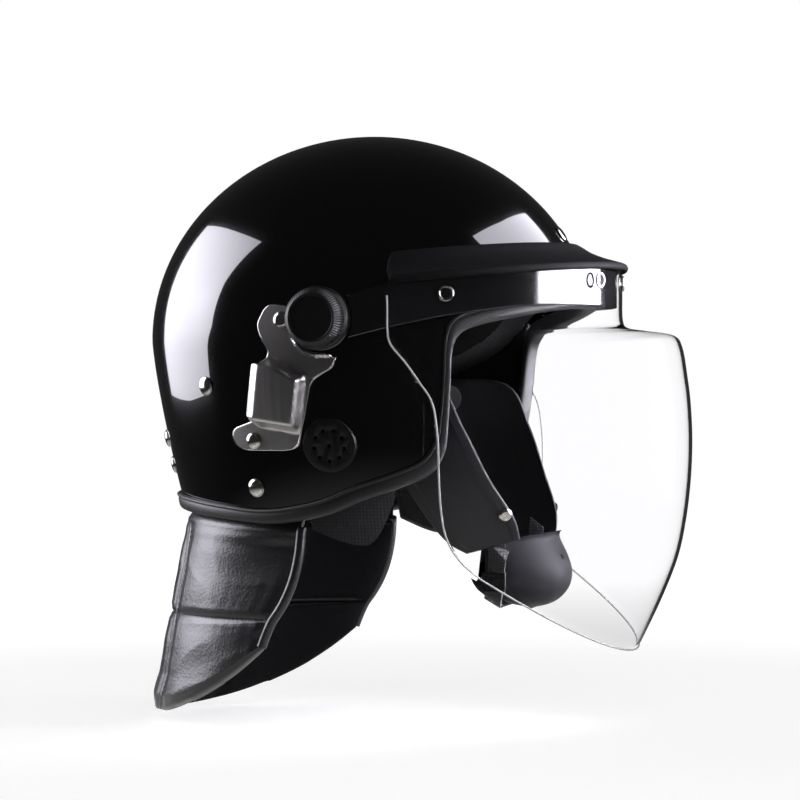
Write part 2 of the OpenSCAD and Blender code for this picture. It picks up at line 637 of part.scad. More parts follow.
// Lens levels: front height, edge height, plan centre, front reach, half width, edge place
LENS_LEVELS = [
    [band_top, band_top - 11, 0, lens_out_a, lens_out_b, visor_edge_x - 1],
    [26, 19, 0, lens_out_a, lens_out_b, visor_edge_x],
    [shelf_height + 7, shelf_height + 3, 0, lens_out_a + 0.4, lens_out_b, visor_edge_x],
    [shelf_height + 2.5, shelf_height - 2, 4, lens_out_a + 4, lens_out_b, visor_edge_x + 0.5],
    [shelf_height + 0.5, shelf_height - 6, 25, lens_out_a + 16, lens_out_b, visor_edge_x + 2],
    [shelf_height - 2, shelf_height - 11, 52, bubble_reach - 11, lens_out_b, visor_edge_x + 5],
    [shelf_height - 9, shelf_height - 19, 58, bubble_reach - 6, lens_out_b - 0.5, visor_edge_x + 12],
    [-22, -26, 60, bubble_reach - 3, lens_out_b - 0.8, visor_edge_x + 20],
    [-38, -38, 60, bubble_reach - 1, lens_out_b - 1.2, visor_edge_x + 27.5],
    [-60, -58, 60, bubble_reach, lens_out_b - 1.5, visor_edge_x + 30.5],
    [-84, -80, 60, bubble_reach - 1, lens_out_b - 2, visor_edge_x + 31],
    [-108, -99, 60, bubble_reach - 4, lens_out_b - 3, visor_edge_x + 32],
    [-130, -114, 60, bubble_reach - 9, lens_out_b - 5, visor_edge_x + 34.5],
    [-155, -127, 60, bubble_reach - 19, lens_out_b - 10, visor_edge_x + 41],
    [-lens_depth, -137, 60, bubble_reach - 32, lens_out_b - 18, visor_edge_x + 49.5]
];
// How far the visor's upper edge has fallen at an azimuth
function brow_fall(az) = 11 * (1 - cos(az)) / (1 - (visor_edge_x - 1) / lens_out_a);
function lens_point(l, u) = let (
    a = l[3] - l[2], full = acos((l[5] - l[2]) / a), az = u * full,
    t = (1 - cos(az)) / (1 - cos(full)))
    [l[2] + a * cos(az), l[4] * sin(az), lerp(l[0], l[1], t)];

module visor_lens() {
    cols = 34;
    grid = [for (l = LENS_LEVELS) [for (j = [0:cols]) lens_point(l, 2 * j / cols - 1)]];
    color("#cfd8dc", 0.35) difference() {
        sheet(grid, grid_offset(grid, -lens_wall, -1));
        visor_rivet_holes();
    }
}

// The frame's edges along its length: both slope down towards the pivots
arm_x = pivot_x + hub_r - 2.5;
function frame_high(x) = x > visor_edge_x
    ? lerp(band_top - 11, band_top, (x - visor_edge_x) / (band_in_a - visor_edge_x))
    : lerp(pivot_z + 13, band_top - 11, (x - arm_x) / (visor_edge_x - arm_x));
function frame_low(x) = x > visor_edge_x
    ? lerp(frame_bottom, pivot_z - 5, pow(max(0, 1 - (x - visor_edge_x) / 75), 1.3))
    : lerp(pivot_z - 11, pivot_z - 5, (x - arm_x) / (visor_edge_x - arm_x));
module visor_frame() {
    cols = 38;
    full = acos(arm_x / band_in_a);
    function strip(d) = [for (v = [0, 1]) [for (j = [0:cols])
        let (az = full * (2 * j / cols - 1), x = band_in_a * cos(az))
        oval(band_in_a + d, hub_in + d, az, v == 0 ? frame_high(x) : frame_low(x))]];
    color("#1d1d1f") difference() {
        union() {
            sheet(strip(frame_wall), strip(0));
            for (side = [-1, 1]) at_pivot(side, hub_in) cylinder(r = hub_r, h = frame_wall);
        }
        for (side = [-1, 1]) at_pivot(side, hub_in - 5) cylinder(r = bolt_r + running, h = 15);
        visor_rivet_holes();
    }
}

// Rivets that hold the lens, the frame and the seal's inner lip together
VISOR_RIVETS = [14, 60];
function visor_rivet_z(az) = band_top - 7 - 20 * (1 - cos(az));
module at_visor_rivet(side, az) {
    n = unit([cos(az) / lens_out_a, sin(az) / lens_out_b, 0]);
    on_side(side) translate(oval(lens_out_a, lens_out_b, -az, visor_rivet_z(az)))
        rotate([0, 90, -atan2(n.y, n.x)]) children();
}
module visor_rivet_holes() {
    for (side = [-1, 1], az = VISOR_RIVETS)
        at_visor_rivet(side, az) translate([0, 0, -20]) cylinder(r = rivet_shank_r + rivet_fit, h = 25);
}
inner_lip = 2.4;
module visor_rivets() {
    color("#d5d3cf") for (side = [-1, 1], az = VISOR_RIVETS)
        at_visor_rivet(side, az) translate([0, 0, seat])
            rivet(0.87 * rivet_head_r, rivet_dome, lens_wall + frame_wall + inner_lip + 4 * seat);
}

// The brow seal: a gutter that flares from the shell out over the visor's upper edge, with a
// lip of its own that hangs down behind the frame. Each row has its share of the way in, its
// share of the rise, and how far it stands out from the lens
FLARE = [[0, -0.2, 2], [0, 0.02, 1.9], [0.1, 0.14, 0], [0.4, 0.32, 0], [0.72, 0.6, 0], [1, 1, 0]];
module brow_seal() {
    cols = 32;
    full = acos((visor_edge_x + 1) / lens_out_a);
    top = band_top + 2 * seat + seal_rubber / 2;
    lip_a = band_in_a - seat - inner_lip / 2;
    lip_b = hub_in - seat - inner_lip / 2;
    function outer_at(u, t) = let (az = full * u * (1 - 0.03 * pow(t, 4)))
        oval(lens_out_a, lens_out_b, az, top - brow_fall(az));
    function inner_at(u) = skin(full * u * 0.96, seal_height - 8 * pow(abs(u), 2), 1.7 + seal_rubber / 2);
    function seal_point(u, share, rise, out_by) = let (
        out = outer_at(u, share), in = inner_at(u),
        way = lerp(out, in, share) + out_by * unit([out.x, out.y, 0]))
        [way.x, way.y, lerp(out.z, in.z, rise)];
    // How far out a point is, as a share of the lip's own ellipse
    function spread(p) = norm([p.x / lip_a, p.y / lip_b]);
    function lip_top(u) = let (o = spread(outer_at(u, 0)), i = spread(inner_at(u)), f = (o - 1) / (o - i))
        seal_point(u, f, lookup(f, [for (r = FLARE) if (r[2] == 0) [r[0], r[1]]]), 0);
    grid = [for (f = FLARE) [for (j = [0:cols]) seal_point(2 * j / cols - 1, f[0], f[1], f[2])]];
    function lip(g) = [for (v = [0, 1]) [for (j = [1:cols - 1]) let (
        p = lip_top(2 * j / cols - 1), az = atan2(p.y / lip_b, p.x / lip_a))
        oval(lip_a + g, lip_b + g, az, v == 0 ? p.z : band_top - 15 - brow_fall(az))]];
    color("#202022") difference() {
        union() {
            sheet(grid_offset(grid, seal_rubber / 2, 1), grid_offset(grid, -seal_rubber / 2, 1));
            sheet(lip(inner_lip / 2), lip(-inner_lip / 2));
        }
        visor_rivet_holes();
    }
}

// Harness anchor: a plate on the ear pad, and a headed pin that the cheek piece turns on
anchor_z = -anchor_depth;
cheek_face = shell_half_width - shell_wall - liner_foam - ear_pad_foam - 4.5;
anchor_plate_y = cheek_face + 7;
module harness_anchor(side) {
    color("#8d8d92") translate([anchor_x, side * (cheek_face - cheek_leather - seat - 2), anchor_z])
        rotate([-90 * side, 0, 0]) {
            cylinder(r = anchor_pin_r + 4, h = 2);
            cylinder(r = anchor_pin_r, h = anchor_plate_y - cheek_face + cheek_leather + seat + 2);
            translate([0, 0, cheek_leather + 2 + 2 * seat])
                cylinder(r = anchor_pin_r + 7, h = anchor_plate_y - cheek_face - seat);
        }
}

// A cheek piece, flat at the anchor and drawn in towards the chin, where it lies round the cup as far out as
// the cup's own width and their room ask. What a wider or narrower shell adds is taken up before that.
cup_room = 12.1;
cheek_draw = 26.4;
function cheek_y(x, z) = let (q = max(0, norm([x - anchor_x, z - anchor_z]) - 24) / 74)
    cheek_face - cheek_draw * pow(q, 1.9)
    - (cheek_face - cup_half_width - cup_room - cheek_draw) * pow(sin(90 * min(1, q / 0.9)), 3.6);
CHEEK_REAR = [[anchor_x - 13, anchor_z - 2], [28, -60], [43, -85], [56, -108], [64, -119], [73, -125]];
CHEEK_FRONT = [[anchor_x - 6, anchor_z + 12], [62, -26], [78, -52], [90, -80], [101, -103], [103, -117]];
module cheek_piece(side) {
    rear = smooth(CHEEK_REAR, 2);
    fore = smooth(CHEEK_FRONT, 2);
    cols = 6;
    function place(i, j) = let (p = lerp(rear[i], fore[i], j / cols)) [p.x, -cheek_y(p.x, p.y), p.y];
    grid = [for (i = [0:len(rear) - 1]) [for (j = [0:cols]) place(i, j)]];
    back = [for (row = grid) [for (p = row) p + [0, cheek_leather, 0]]];
    color("#1d1d1f") on_side(side) difference() {
        sheet(grid, back);
        translate([anchor_x, -cheek_face - 10, anchor_z]) rotate([-90, 0, 0])
            cylinder(r = anchor_pin_r + running, h = 30);
    }
}
SNAP = [97, -102];
module cheek_snaps() {
    n = unit([
        cheek_y(SNAP.x - 1, SNAP.y) - cheek_y(SNAP.x + 1, SNAP.y), -2,
        cheek_y(SNAP.x, SNAP.y - 1) - cheek_y(SNAP.x, SNAP.y + 1)]);
    color("#c9c7c2") for (side = [-1, 1]) on_side(side)
        translate([SNAP.x, -cheek_y(SNAP.x, SNAP.y), SNAP.y] + 0.5 * n)
            rotate([0, acos(n.z), atan2(n.y, n.x)]) cylinder(r1 = 4.2, r2 = 2.9, h = 1.6);
}

// The chin cup: a shallow bowl under the chin, its upper lip rolled forward
CUP_PROFILE = [[27, 14], [29, 8], [33, 0], [36, -10], [34, -20], [26, -28], [14, -31], [2, -28], [-6, -22]];
cup_x = 86;
cup_z = -127;
module chin_cup() {
    cols = 14;
    grid = [for (p = CUP_PROFILE) [for (j = [0:cols]) let (u = 2 * j / cols - 1, w = 78 * u)
        [cup_x + p[0] * cos(w) - 12 * u * u, cup_half_width * sin(w), cup_z + p[1] * (1 - 0.45 * u * u)]]];
    color("#38383d") difference() {
        sheet(grid, grid_offset(grid, -cup_wall, -1));
        for (y = [-7, 7]) translate([cup_x, y, cup_z - 1]) rotate([0, 90, 0]) cylinder(r = 1.5, h = 60);
    }
}

// The under-jaw strap lies inside the cheek pieces and runs down round the cup
JAW_PATH = [[89, cup_half_width + 7.9, -110], [89.5, cup_half_width + 1.1, -121],
    [89, cup_half_width + 0.6, -133], [87.5, cup_half_width, -146.5], [85.5, cup_half_width - 5, -152.4],
    [83.5, 27, -153.3], [82.8, 14, -153.1], [82.5, 0, -153]];
module jaw_strap() {
    half = smooth(JAW_PATH, 2);
    path = concat([for (p = half) [p.x, -p.y, p.z]], [for (k = [len(half) - 2:-1:0]) half[k]]);
    n = len(path) - 1;
    across = unit([0.87, 0, -0.5]) * strap_width / 2;
    function laid(k, p) = let (i = min(k, n - k), y = cheek_y(p.x, p.z) - cheek_leather - 6 * seat - strap_thickness)
        i < 3 ? [p.x, (k < n / 2 ? -1 : 1) * y, p.z] : p;
    grid = [for (s = [-1, 1]) [for (k = [0:n]) laid(k, path[k] + s * across)]];
    color("#161618") sheet(grid_offset(grid, strap_thickness, 1), grid);
}
module jaw_buckle() {
    width = strap_width + 3;
    color("#141416") translate([88, -cup_half_width - 0.8 - strap_thickness, -141.5]) rotate([90, 0, 0])
        difference() {
            translate([-width / 2, -6, 0]) cube([width, 12, 2.4]);
            for (y = [-4, 1.4]) translate([-strap_width / 2 + 0.6, y, -1]) cube([strap_width - 1.2, 2.6, 5]);
        }
}

shell();
edge_trim();
impact_liner();
comfort_band();
crown_pad();
ear_pad(-1);  // ear_pad_right
ear_pad(1);  // ear_pad_left
ear_vent(-1);  // ear_vent_right
ear_vent(1);  // ear_vent_left
mask_bracket(-1);  // mask_bracket_right
mask_bracket(1);  // mask_bracket_left
bracket_rivets();
shell_rivets();
pivot_bolt(-1);  // pivot_bolt_right
pivot_bolt(1);  // pivot_bolt_left
pivot_base(-1);  // pivot_base_right
pivot_base(1);  // pivot_base_left
pivot_washer(-1);  // pivot_washer_right
pivot_washer(1);  // pivot_washer_left
knob(-1);  // knob_right
knob(1);  // knob_left
neck_guard();
visor_lens();
visor_frame();
brow_seal();
visor_rivets();
harness_anchor(-1);  // harness_anchor_right
harness_anchor(1);  // harness_anchor_left
cheek_piece(-1);  // cheek_piece_right
cheek_piece(1);  // cheek_piece_left
cheek_snaps();
chin_cup();
jaw_strap();
jaw_buckle();
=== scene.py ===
"""Riot helmet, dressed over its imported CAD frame.

Blender objects are in metres. The shaping formulas below are the CAD source's own and work in millimetres.
"""
import math

import bmesh
import bpy
from mathutils import Matrix, Vector, noise


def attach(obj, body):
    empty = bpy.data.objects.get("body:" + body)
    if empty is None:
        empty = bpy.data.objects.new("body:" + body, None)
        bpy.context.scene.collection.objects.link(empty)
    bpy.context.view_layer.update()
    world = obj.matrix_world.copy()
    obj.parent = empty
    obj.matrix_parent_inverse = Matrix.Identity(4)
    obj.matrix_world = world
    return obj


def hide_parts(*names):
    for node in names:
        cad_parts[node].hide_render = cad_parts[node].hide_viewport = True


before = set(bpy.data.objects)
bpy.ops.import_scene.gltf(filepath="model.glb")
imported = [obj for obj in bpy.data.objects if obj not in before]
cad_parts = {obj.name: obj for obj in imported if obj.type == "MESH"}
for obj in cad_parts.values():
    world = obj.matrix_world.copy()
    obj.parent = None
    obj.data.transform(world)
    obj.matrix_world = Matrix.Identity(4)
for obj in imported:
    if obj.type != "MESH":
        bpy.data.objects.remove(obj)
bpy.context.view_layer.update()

# Camera
# Level with the helmet and 17 degrees forward of its side, on a long lens 1.8 m away.
aim = Vector((0.017, 0, -0.036))
camera_turn = math.radians(17)
camera_distance = 1.8
camera = bpy.data.objects.new("camera", bpy.data.cameras.new("camera"))
bpy.context.collection.objects.link(camera)
camera.data.lens = 135
camera.data.sensor_width = 36
camera.location = aim + camera_distance * Vector((math.sin(camera_turn), -math.cos(camera_turn), 0))
camera.rotation_euler = (aim - camera.location).to_track_quat("-Z", "Y").to_euler()
bpy.context.scene.camera = camera
bpy.context.scene.view_settings.view_transform = "Standard"


# Studio
# A white sweep, two tall softboxes whose reflections draw the gloss, and broad soft lamps for all the rest.
def ink(code):
    """A hex sRGB colour as linear RGBA."""
    parts = [int(code[i:i + 2], 16) / 255 for i in (1, 3, 5)]
    return (*[c / 12.92 if c <= 0.04045 else ((c + 0.055) / 1.055) ** 2.4 for c in parts], 1)


def node(tree, kind, inputs=None, into="", **settings):
    """Adds a node with its settings, and its inputs as values or as other nodes' outputs.

    Its own output can go into a named socket of the tree's Principled shader.
    """
    made = tree.nodes.new(kind)
    for name, value in settings.items():
        setattr(made, name, value)
    for socket, value in (inputs or {}).items():
        if isinstance(value, bpy.types.NodeSocket):
            tree.links.new(value, made.inputs[socket])
        else:
            made.inputs[socket].default_value = value
    if into:
        result = next(out for out in made.outputs if out.enabled)
        tree.links.new(result, tree.nodes["Principled BSDF"].inputs[into])
    return made


def sees_white(tree, rays):
    """1 where the camera sees the backdrop, by itself or straight through the lens, and not in its gloss."""
    straight = node(tree, "ShaderNodeMath", {0: rays.outputs["Glossy Depth"], 1: 0.5},
                    operation="LESS_THAN")
    through = node(tree, "ShaderNodeMath", {0: rays.outputs["Is Transmission Ray"], 1: straight.outputs[0]},
                   operation="MULTIPLY")
    return node(tree, "ShaderNodeMath", {0: rays.outputs["Is Camera Ray"], 1: through.outputs[0]},
                operation="MAXIMUM")


# The room: white to the camera and almost black in the gloss
room_in_gloss = 0.03
world = bpy.data.worlds.new("studio")
bpy.context.scene.world = world
world.use_nodes = True
world.node_tree.nodes.clear()
sky = world.node_tree
rays = node(sky, "ShaderNodeLightPath")
seen = sees_white(sky, rays)
mirrored = node(sky, "ShaderNodeMath", {0: rays.outputs["Is Glossy Ray"], 1: room_in_gloss},
                operation="MULTIPLY")
white = node(sky, "ShaderNodeMath", {0: seen.outputs[0], 1: mirrored.outputs[0]}, operation="MAXIMUM")
backdrop = node(sky, "ShaderNodeBackground", {"Color": (1, 1, 1, 1), "Strength": white.outputs[0]})
node(sky, "ShaderNodeOutputWorld", {"Surface": backdrop.outputs[0]})

# Matt white paper: the camera sees it white with a soft shadow; gloss sees it pale near by and black far off
floor_level, floor_radius = -0.228, 9
sweep = bmesh.new()
bmesh.ops.create_circle(sweep, cap_ends=True, segments=64, radius=floor_radius)
bmesh.ops.translate(sweep, vec=(0, 0, floor_level), verts=sweep.verts)
floor = bpy.data.objects.new("floor", bpy.data.meshes.new("floor"))
sweep.to_mesh(floor.data)
bpy.context.collection.objects.link(floor)
paper = bpy.data.materials.new("white_paper")
paper.use_nodes = True
paper.node_tree.nodes.clear()
tree = paper.node_tree
rays = node(tree, "ShaderNodeLightPath")
seen = sees_white(tree, rays)
spot = node(tree, "ShaderNodeNewGeometry").outputs["Position"]
far = node(tree, "ShaderNodeVectorMath", {0: spot}, operation="LENGTH").outputs["Value"]
clear = node(tree, "ShaderNodeMapRange", {
    "Value": far, "From Min": 0.5, "From Max": 1.4, "To Min": 0.66, "To Max": 1.0})
near = node(tree, "ShaderNodeMapRange", {
    "Value": far, "From Min": 0.24, "From Max": 0.55, "To Min": 0.9, "To Max": 0.03},
            interpolation_type="SMOOTHSTEP")
shown = node(tree, "ShaderNodeMath", {0: seen.outputs[0], 1: clear.outputs[0]}, operation="MULTIPLY")
mirrored = node(tree, "ShaderNodeMath", {0: rays.outputs["Is Glossy Ray"], 1: near.outputs[0]},
                operation="MULTIPLY")
white = node(tree, "ShaderNodeMath", {0: shown.outputs[0], 1: mirrored.outputs[0]}, operation="MAXIMUM")
lit = node(tree, "ShaderNodeMath", {0: rays.outputs["Is Glossy Ray"], 1: -0.45, 2: 0.45},
           operation="MULTIPLY_ADD")
matt = node(tree, "ShaderNodeBsdfDiffuse", {"Color": lit.outputs[0]})
glow = node(tree, "ShaderNodeEmission", {"Color": (1, 1, 1, 1), "Strength": white.outputs[0]})
both = node(tree, "ShaderNodeAddShader", {0: matt.outputs[0], 1: glow.outputs[0]})
node(tree, "ShaderNodeOutputMaterial", {"Surface": both.outputs[0]})
floor.data.materials.append(paper)
lamp_distance = 1.5


def towards(azimuth, elevation):
    """The unit direction at an azimuth and an elevation in degrees."""
    a, e = math.radians(azimuth), math.radians(elevation)
    return Vector((math.cos(a) * math.cos(e), math.sin(a) * math.cos(e), math.sin(e)))


def lamp(name, azimuth, elevation, size, power):
    """A broad soft lamp, which lights the helmet without showing in its gloss."""
    light = bpy.data.lights.new(name, "AREA")
    light.size, light.energy = size, power
    held = bpy.data.objects.new(name, light)
    bpy.context.collection.objects.link(held)
    held.location = lamp_distance * towards(azimuth, elevation)
    held.rotation_euler = held.location.to_track_quat("Z", "Y").to_euler()
    held.visible_camera = held.visible_transmission = held.visible_glossy = False


def card(name, corners, brightest, strength, dim, reach, level):
    """A softbox that only gloss and the lens show.

    Its cloth dims from strength at its brightest place to dim at reach metres from there. Of that distance,
    what is level counts by the share level.
    """
    mesh = bpy.data.meshes.new(name)
    middle = sum((Vector(c) for c in corners), Vector()) / len(corners)
    mesh.from_pydata([*corners, 1.04 * middle], [], [
        (k, (k + 1) % len(corners), len(corners)) for k in range(len(corners))])
    screen = bpy.data.objects.new(name, mesh)
    bpy.context.collection.objects.link(screen)
    cloth = bpy.data.materials.new(name)
    cloth.use_nodes = True
    cloth.node_tree.nodes.clear()
    tree = cloth.node_tree
    place = node(tree, "ShaderNodeNewGeometry").outputs["Position"]
    away = node(tree, "ShaderNodeVectorMath", {0: place, 1: brightest}, operation="SUBTRACT")
    flat = node(tree, "ShaderNodeVectorMath", {0: away.outputs[0], 1: (level, level, 1)},
                operation="MULTIPLY")
    far = node(tree, "ShaderNodeVectorMath", {0: flat.outputs[0]}, operation="LENGTH").outputs["Value"]
    fall = node(tree, "ShaderNodeMapRange", {
        "Value": far, "From Max": reach, "To Min": strength, "To Max": dim})
    glow = node(tree, "ShaderNodeEmission", {"Color": ink("#f6f4ff"), "Strength": fall.outputs[0]})
    node(tree, "ShaderNodeOutputMaterial", {"Surface": glow.outputs[0]})
    mesh.materials.append(cloth)
    screen.visible_camera = screen.visible_diffuse = screen.visible_shadow = False


card("softbox_rear", [
    (-0.89, 0.36, -0.14), (-0.97, 0.02, -0.2), (-0.92, -0.29, -0.22), (-0.92, -0.38, 0.09),
    (-0.84, -0.37, 0.38), (-0.64, -0.38, 0.66), (-0.74, -0.12, 0.64), (-0.76, 0.36, 0.48),
    (-0.91, 0.34, 0.03)],
    brightest=(-0.93, -0.2, 0.24), strength=13, dim=3.2, reach=0.7, level=1)
card("softbox_front", [
    (1.02, -0.19, -0.2), (0.98, -0.19, 0.4), (0.62, -0.17, 0.77), (0.6, 0.21, 0.76), (0.43, 0.61, 0.61),
    (0.54, 0.64, 0.49), (0.72, 0.67, 0.1), (0.72, 0.67, -0.2)],
    brightest=(0.9, 0.25, 0), strength=27, dim=7.5, reach=0.36, level=0.2)
lamp("light_side", -75, 35, 2.0, 17)
lamp("light_rear", 170, 25, 1.6, 10)
lamp("light_front", 10, 20, 1.6, 8)
lamp("light_far", 95, 30, 1.8, 7)

# Shell
# One hard moulding in black, gloss lacquered, 4 mm thick, with a deep skirt round the nape and a high brow.
shell_half_length = 135
shell_half_width = 114
crown_height = 122
skirt_draw_in = 0.15
skirt_depth = 104.5
nape_depth = 97
shell_wall = 4


def unit(x, y, z):
    return Vector((x, y, z)).normalized()


def between(a, b, t):
    return a + (b - a) * t


def smooth(points, per):
    """Points on a Catmull-Rom curve through these, per to a span."""
    made = []
    for i in range(len(points) - 1):
        p = [points[max(i - 1, 0)], points[i], points[i + 1], points[min(i + 2, len(points) - 1)]]
        for k in range(per):
            t = k / per
            made.append(tuple(
                b + 0.5 * t * (c - a + t * (2 * a - 5 * b + 4 * c - d + t * (3 * (b - c) + d - a)))
                for a, b, c, d in zip(*p)))
    return made + [tuple(points[-1])]


def pair(points, t):
    """The numbers at share t of the way through a list of points, between the two points there."""
    at = min(max(t, 0), 1) * (len(points) - 1)
    i = min(int(at), len(points) - 2)
    return [between(a, b, at - i) for a, b in zip(points[i], points[i + 1])]


def table(rows, x):
    """The value at x from rows of (x, value), eased between them."""
    if x <= rows[0][0]:
        return rows[0][1]
    for (x0, a), (x1, b) in zip(rows, rows[1:]):
        if x <= x1:
            t = (x - x0) / (x1 - x0)
            return between(a, b, t * t * (3 - 2 * t))
    return rows[-1][1]


def crown_share(z):
    """The shell's width at a height, as a share of its width at the pivots."""
    if z > 0:
        return math.sqrt(max(0, 1 - (z / crown_height) ** 2))
    return 1 - skirt_draw_in * (-z / 100) ** 1.3


def outward(p):
    """The direction straight out of the shell at a point on it."""
    slope = 0.013 * skirt_draw_in * (max(0, -p.z) / 100) ** 0.3
    return unit(p.x / shell_half_length ** 2, p.y / shell_half_width ** 2,
                p.z / crown_height ** 2 if p.z > 0 else -crown_share(p.z) * slope)


def skin(azimuth, z, out):
    """A point this far out from the shell, at an azimuth in degrees and a height."""
    a, f = math.radians(azimuth), crown_share(z)
    p = Vector((shell_half_length * f * math.cos(a), shell_half_width * f * math.sin(a), z))
    return p + out * outward(p)


def azimuth_at(x, z):
    """The azimuth of the shell's surface at a distance forward and a height."""
    return math.degrees(math.acos(x / (shell_half_length * crown_share(z))))


def cast(d):
    """Where a ray from the middle meets the shell."""
    flat = math.hypot(d.x / shell_half_length, d.y / shell_half_width)
    if d.z >= 0:
        return d / math.hypot(flat, d.z / crown_height)
    t = 1 / flat
    for _ in range(24):
        t = crown_share(t * d.z) / flat
    return d * t


def cast_out(d, out):
    """The point this far out from the shell, over where a ray from the middle meets it."""
    p = cast(d)
    return p + out * outward(p)


def skirt_line(azimuth):
    """The height of the shell's lower edge, which rises a little round the nape."""
    share = min(90, max(0, (azimuth - 108) / 72 * 90))
    return -skirt_depth + (skirt_depth - nape_depth) * math.sin(math.radians(share)) ** 1.3


def ring(half):
    """Unit directions right round the helmet from the azimuths and heights of one half."""
    both = half + [(360 - a, z) for a, z in reversed(half[1:-1])] + [half[0]]
    return [skin(a, z, 0).normalized() for a, z in both]


crown = unit(-0.55, 0, 0.835)
edge_half = smooth([
    (0, 21), (12.9, 20.2), (25.8, 18), (38, 14), (48.2, 9.5), (54, 4), (56, -6), (56, -27), (56, -48),
    (56.5, -63.5), (60, -75.5), (68, -83), (78, -90), (90, -99.5)] +
    [(a, skirt_line(a)) for a in (106, 122, 140, 160, 180)], 7)
shell_edge = ring(edge_half)
liner_edge = ring(smooth([
    (0, 35), (25, 33), (50, 21), (68, -8), (85, -23), (105, -28), (130, -38), (155, -50), (180, -54)], 10))


def edge_skin(edge, s, out):
    """A point s up the wall from an edge, or down past it where s is negative, and this far out."""
    share = s / (cast(edge).length * crown.angle(edge))
    return cast_out(edge.slerp(crown, share) if s >= 0 else crown.slerp(edge, 1 - share), out)


def there_and_back(v):
    """Whether v is on its way out over the first face, and how far along that face or the other it is."""
    return (True, 2 * v) if v < 0.5 else (False, 2 - 2 * v)


def surface(place, columns, rows, shut=""):
    """A mesh whose point at (u, v), from 0 to 1, is place(u, v) in millimetres. Sides that meet are joined.

    A sheet whose v goes out over one face and back over the other can have its ends in u, v or uv drawn shut.
    """
    mesh = bmesh.new()
    bmesh.ops.create_grid(mesh, x_segments=columns, y_segments=rows, size=0.5)
    for vertex in mesh.verts:
        u, v = vertex.co.x + 0.5, vertex.co.y + 0.5
        ends = ("u" in shut and min(u, 1 - u) < 1e-6) or ("v" in shut and min(v, 1 - v) < 1e-6)
        vertex.co = 0.001 * (0.5 * (place(u, v) + place(u, 1 - v)) if ends else place(u, v))
    bmesh.ops.remove_doubles(mesh, verts=mesh.verts, dist=1e-6)
    bmesh.ops.recalc_face_normals(mesh, faces=mesh.faces)
    return mesh


def keep(mesh, name, material, body, nodes=(), sharp=40):
    """Turns a mesh into a smooth piece of a material, which rides on a body and stands for CAD nodes."""
    data = bpy.data.meshes.new(name)
    mesh.to_mesh(data)
    mesh.free()
    data.shade_smooth()
    data.set_sharp_from_angle(angle=math.radians(sharp))
    data.materials.append(material)
    piece = bpy.data.objects.new(name, data)
    bpy.context.collection.objects.link(piece)
    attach(piece, body)
    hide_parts(*nodes)
    return piece


def finish(name, slot, **values):
    """A material for a slot with its shader's values set, its tree, and its pieces' coordinates."""
    made = bpy.data.materials.new(name)
    made["slot"] = slot
    made.use_nodes = True
    tree = made.node_tree
    for socket, value in values.items():
        tree.nodes["Principled BSDF"].inputs[socket.replace("_", " ")].default_value = value
    return made, tree, node(tree, "ShaderNodeTexCoord").outputs["Object"]


peel_width, wipe_width = 5.555, 71.4
# Gloss lacquer on a moulded shell: a mirror with faint orange peel, over soft wipe marks in the coat below it
shell_gloss, tree, at = finish(
    "gloss_black_lacquer", "shell_gloss", Base_Color=ink("#050506"), Roughness=0.12, Specular_IOR_Level=0.08,
    Coat_Weight=1, Coat_Roughness=0.012, Coat_IOR=1.55)
peel = node(tree, "ShaderNodeTexNoise", {
    "Vector": at, "Scale": 1000 / peel_width, "Detail": 2}).outputs["Fac"]
node(tree, "ShaderNodeBump", {"Height": peel, "Strength": 0.03, "Distance": 0.0004}, "Normal")
wiped = node(tree, "ShaderNodeTexNoise", {
    "Vector": at, "Scale": 1000 / wipe_width, "Detail": 6, "Roughness": 0.7}).outputs["Fac"]
node(tree, "ShaderNodeMapRange", {"Value": wiped, "To Min": 0.08, "To Max": 0.2}, "Roughness")


def bowl(edge, out, inside):
    """A closed bowl between two distances from the shell, from an edge to the crown."""
    def place(u, v):
        d = edge[round(u * (len(edge) - 1))]
        inner, far = there_and_back(v)
        return cast_out(d if far >= 1 else d.slerp(crown, (1 - far) ** 0.9), inside if inner else out)
    return surface(place, len(edge) - 1, 96)


keep(bowl(shell_edge, 0, -shell_wall), "shell_moulding", shell_gloss, "helmet", ["shell"])

# Edge trim
# An extruded black rubber channel pushed over the raw edge all round, with a raised bead along its outer lip.
scuff_width = 11.1
# Extruded rubber: a satin black, scuffed here and there to a dull grey
trim_rubber, tree, at = finish("satin_black_rubber", "trim_rubber", Base_Color=ink("#141415"), Roughness=0.5,
                               Specular_IOR_Level=0.4)
scuff = node(tree, "ShaderNodeTexNoise", {
    "Vector": at, "Scale": 1000 / scuff_width, "Detail": 8, "Roughness": 0.65}).outputs["Fac"]
node(tree, "ShaderNodeMix", {0: scuff, 6: ink("#0e0e0f"), 7: ink("#1c1c1e")}, "Base Color", data_type="RGBA")
node(tree, "ShaderNodeMapRange", {"Value": scuff, "To Min": 0.42, "To Max": 0.56}, "Roughness")
node(tree, "ShaderNodeBump", {"Height": scuff, "Strength": 0.12, "Distance": 0.0003}, "Normal")
# The channel's section, as height up the wall and distance out from the shell
trim_profile = smooth([
    (6.5, 0.3), (6.7, 1.2), (6.45, 2.3), (5.8, 3.0), (5.1, 2.85), (4.7, 2.35), (4.3, 2.3), (3.2, 2.75),
    (1.4, 3.0), (-0.6, 2.9), (-2.2, 2.1), (-3.05, 0.4), (-3.15, -1.6), (-3.0, -3.6), (-2.2, -5.6),
    (-0.6, -6.4), (2.0, -6.5), (4.8, -6.4), (6.2, -5.9), (6.6, -5.1), (6.5, -4.3), (3.0, -4.35),
    (-0.3, -4.3), (-0.4, -2), (-0.3, 0.3), (3.0, 0.32), (6.5, 0.3)], 3)


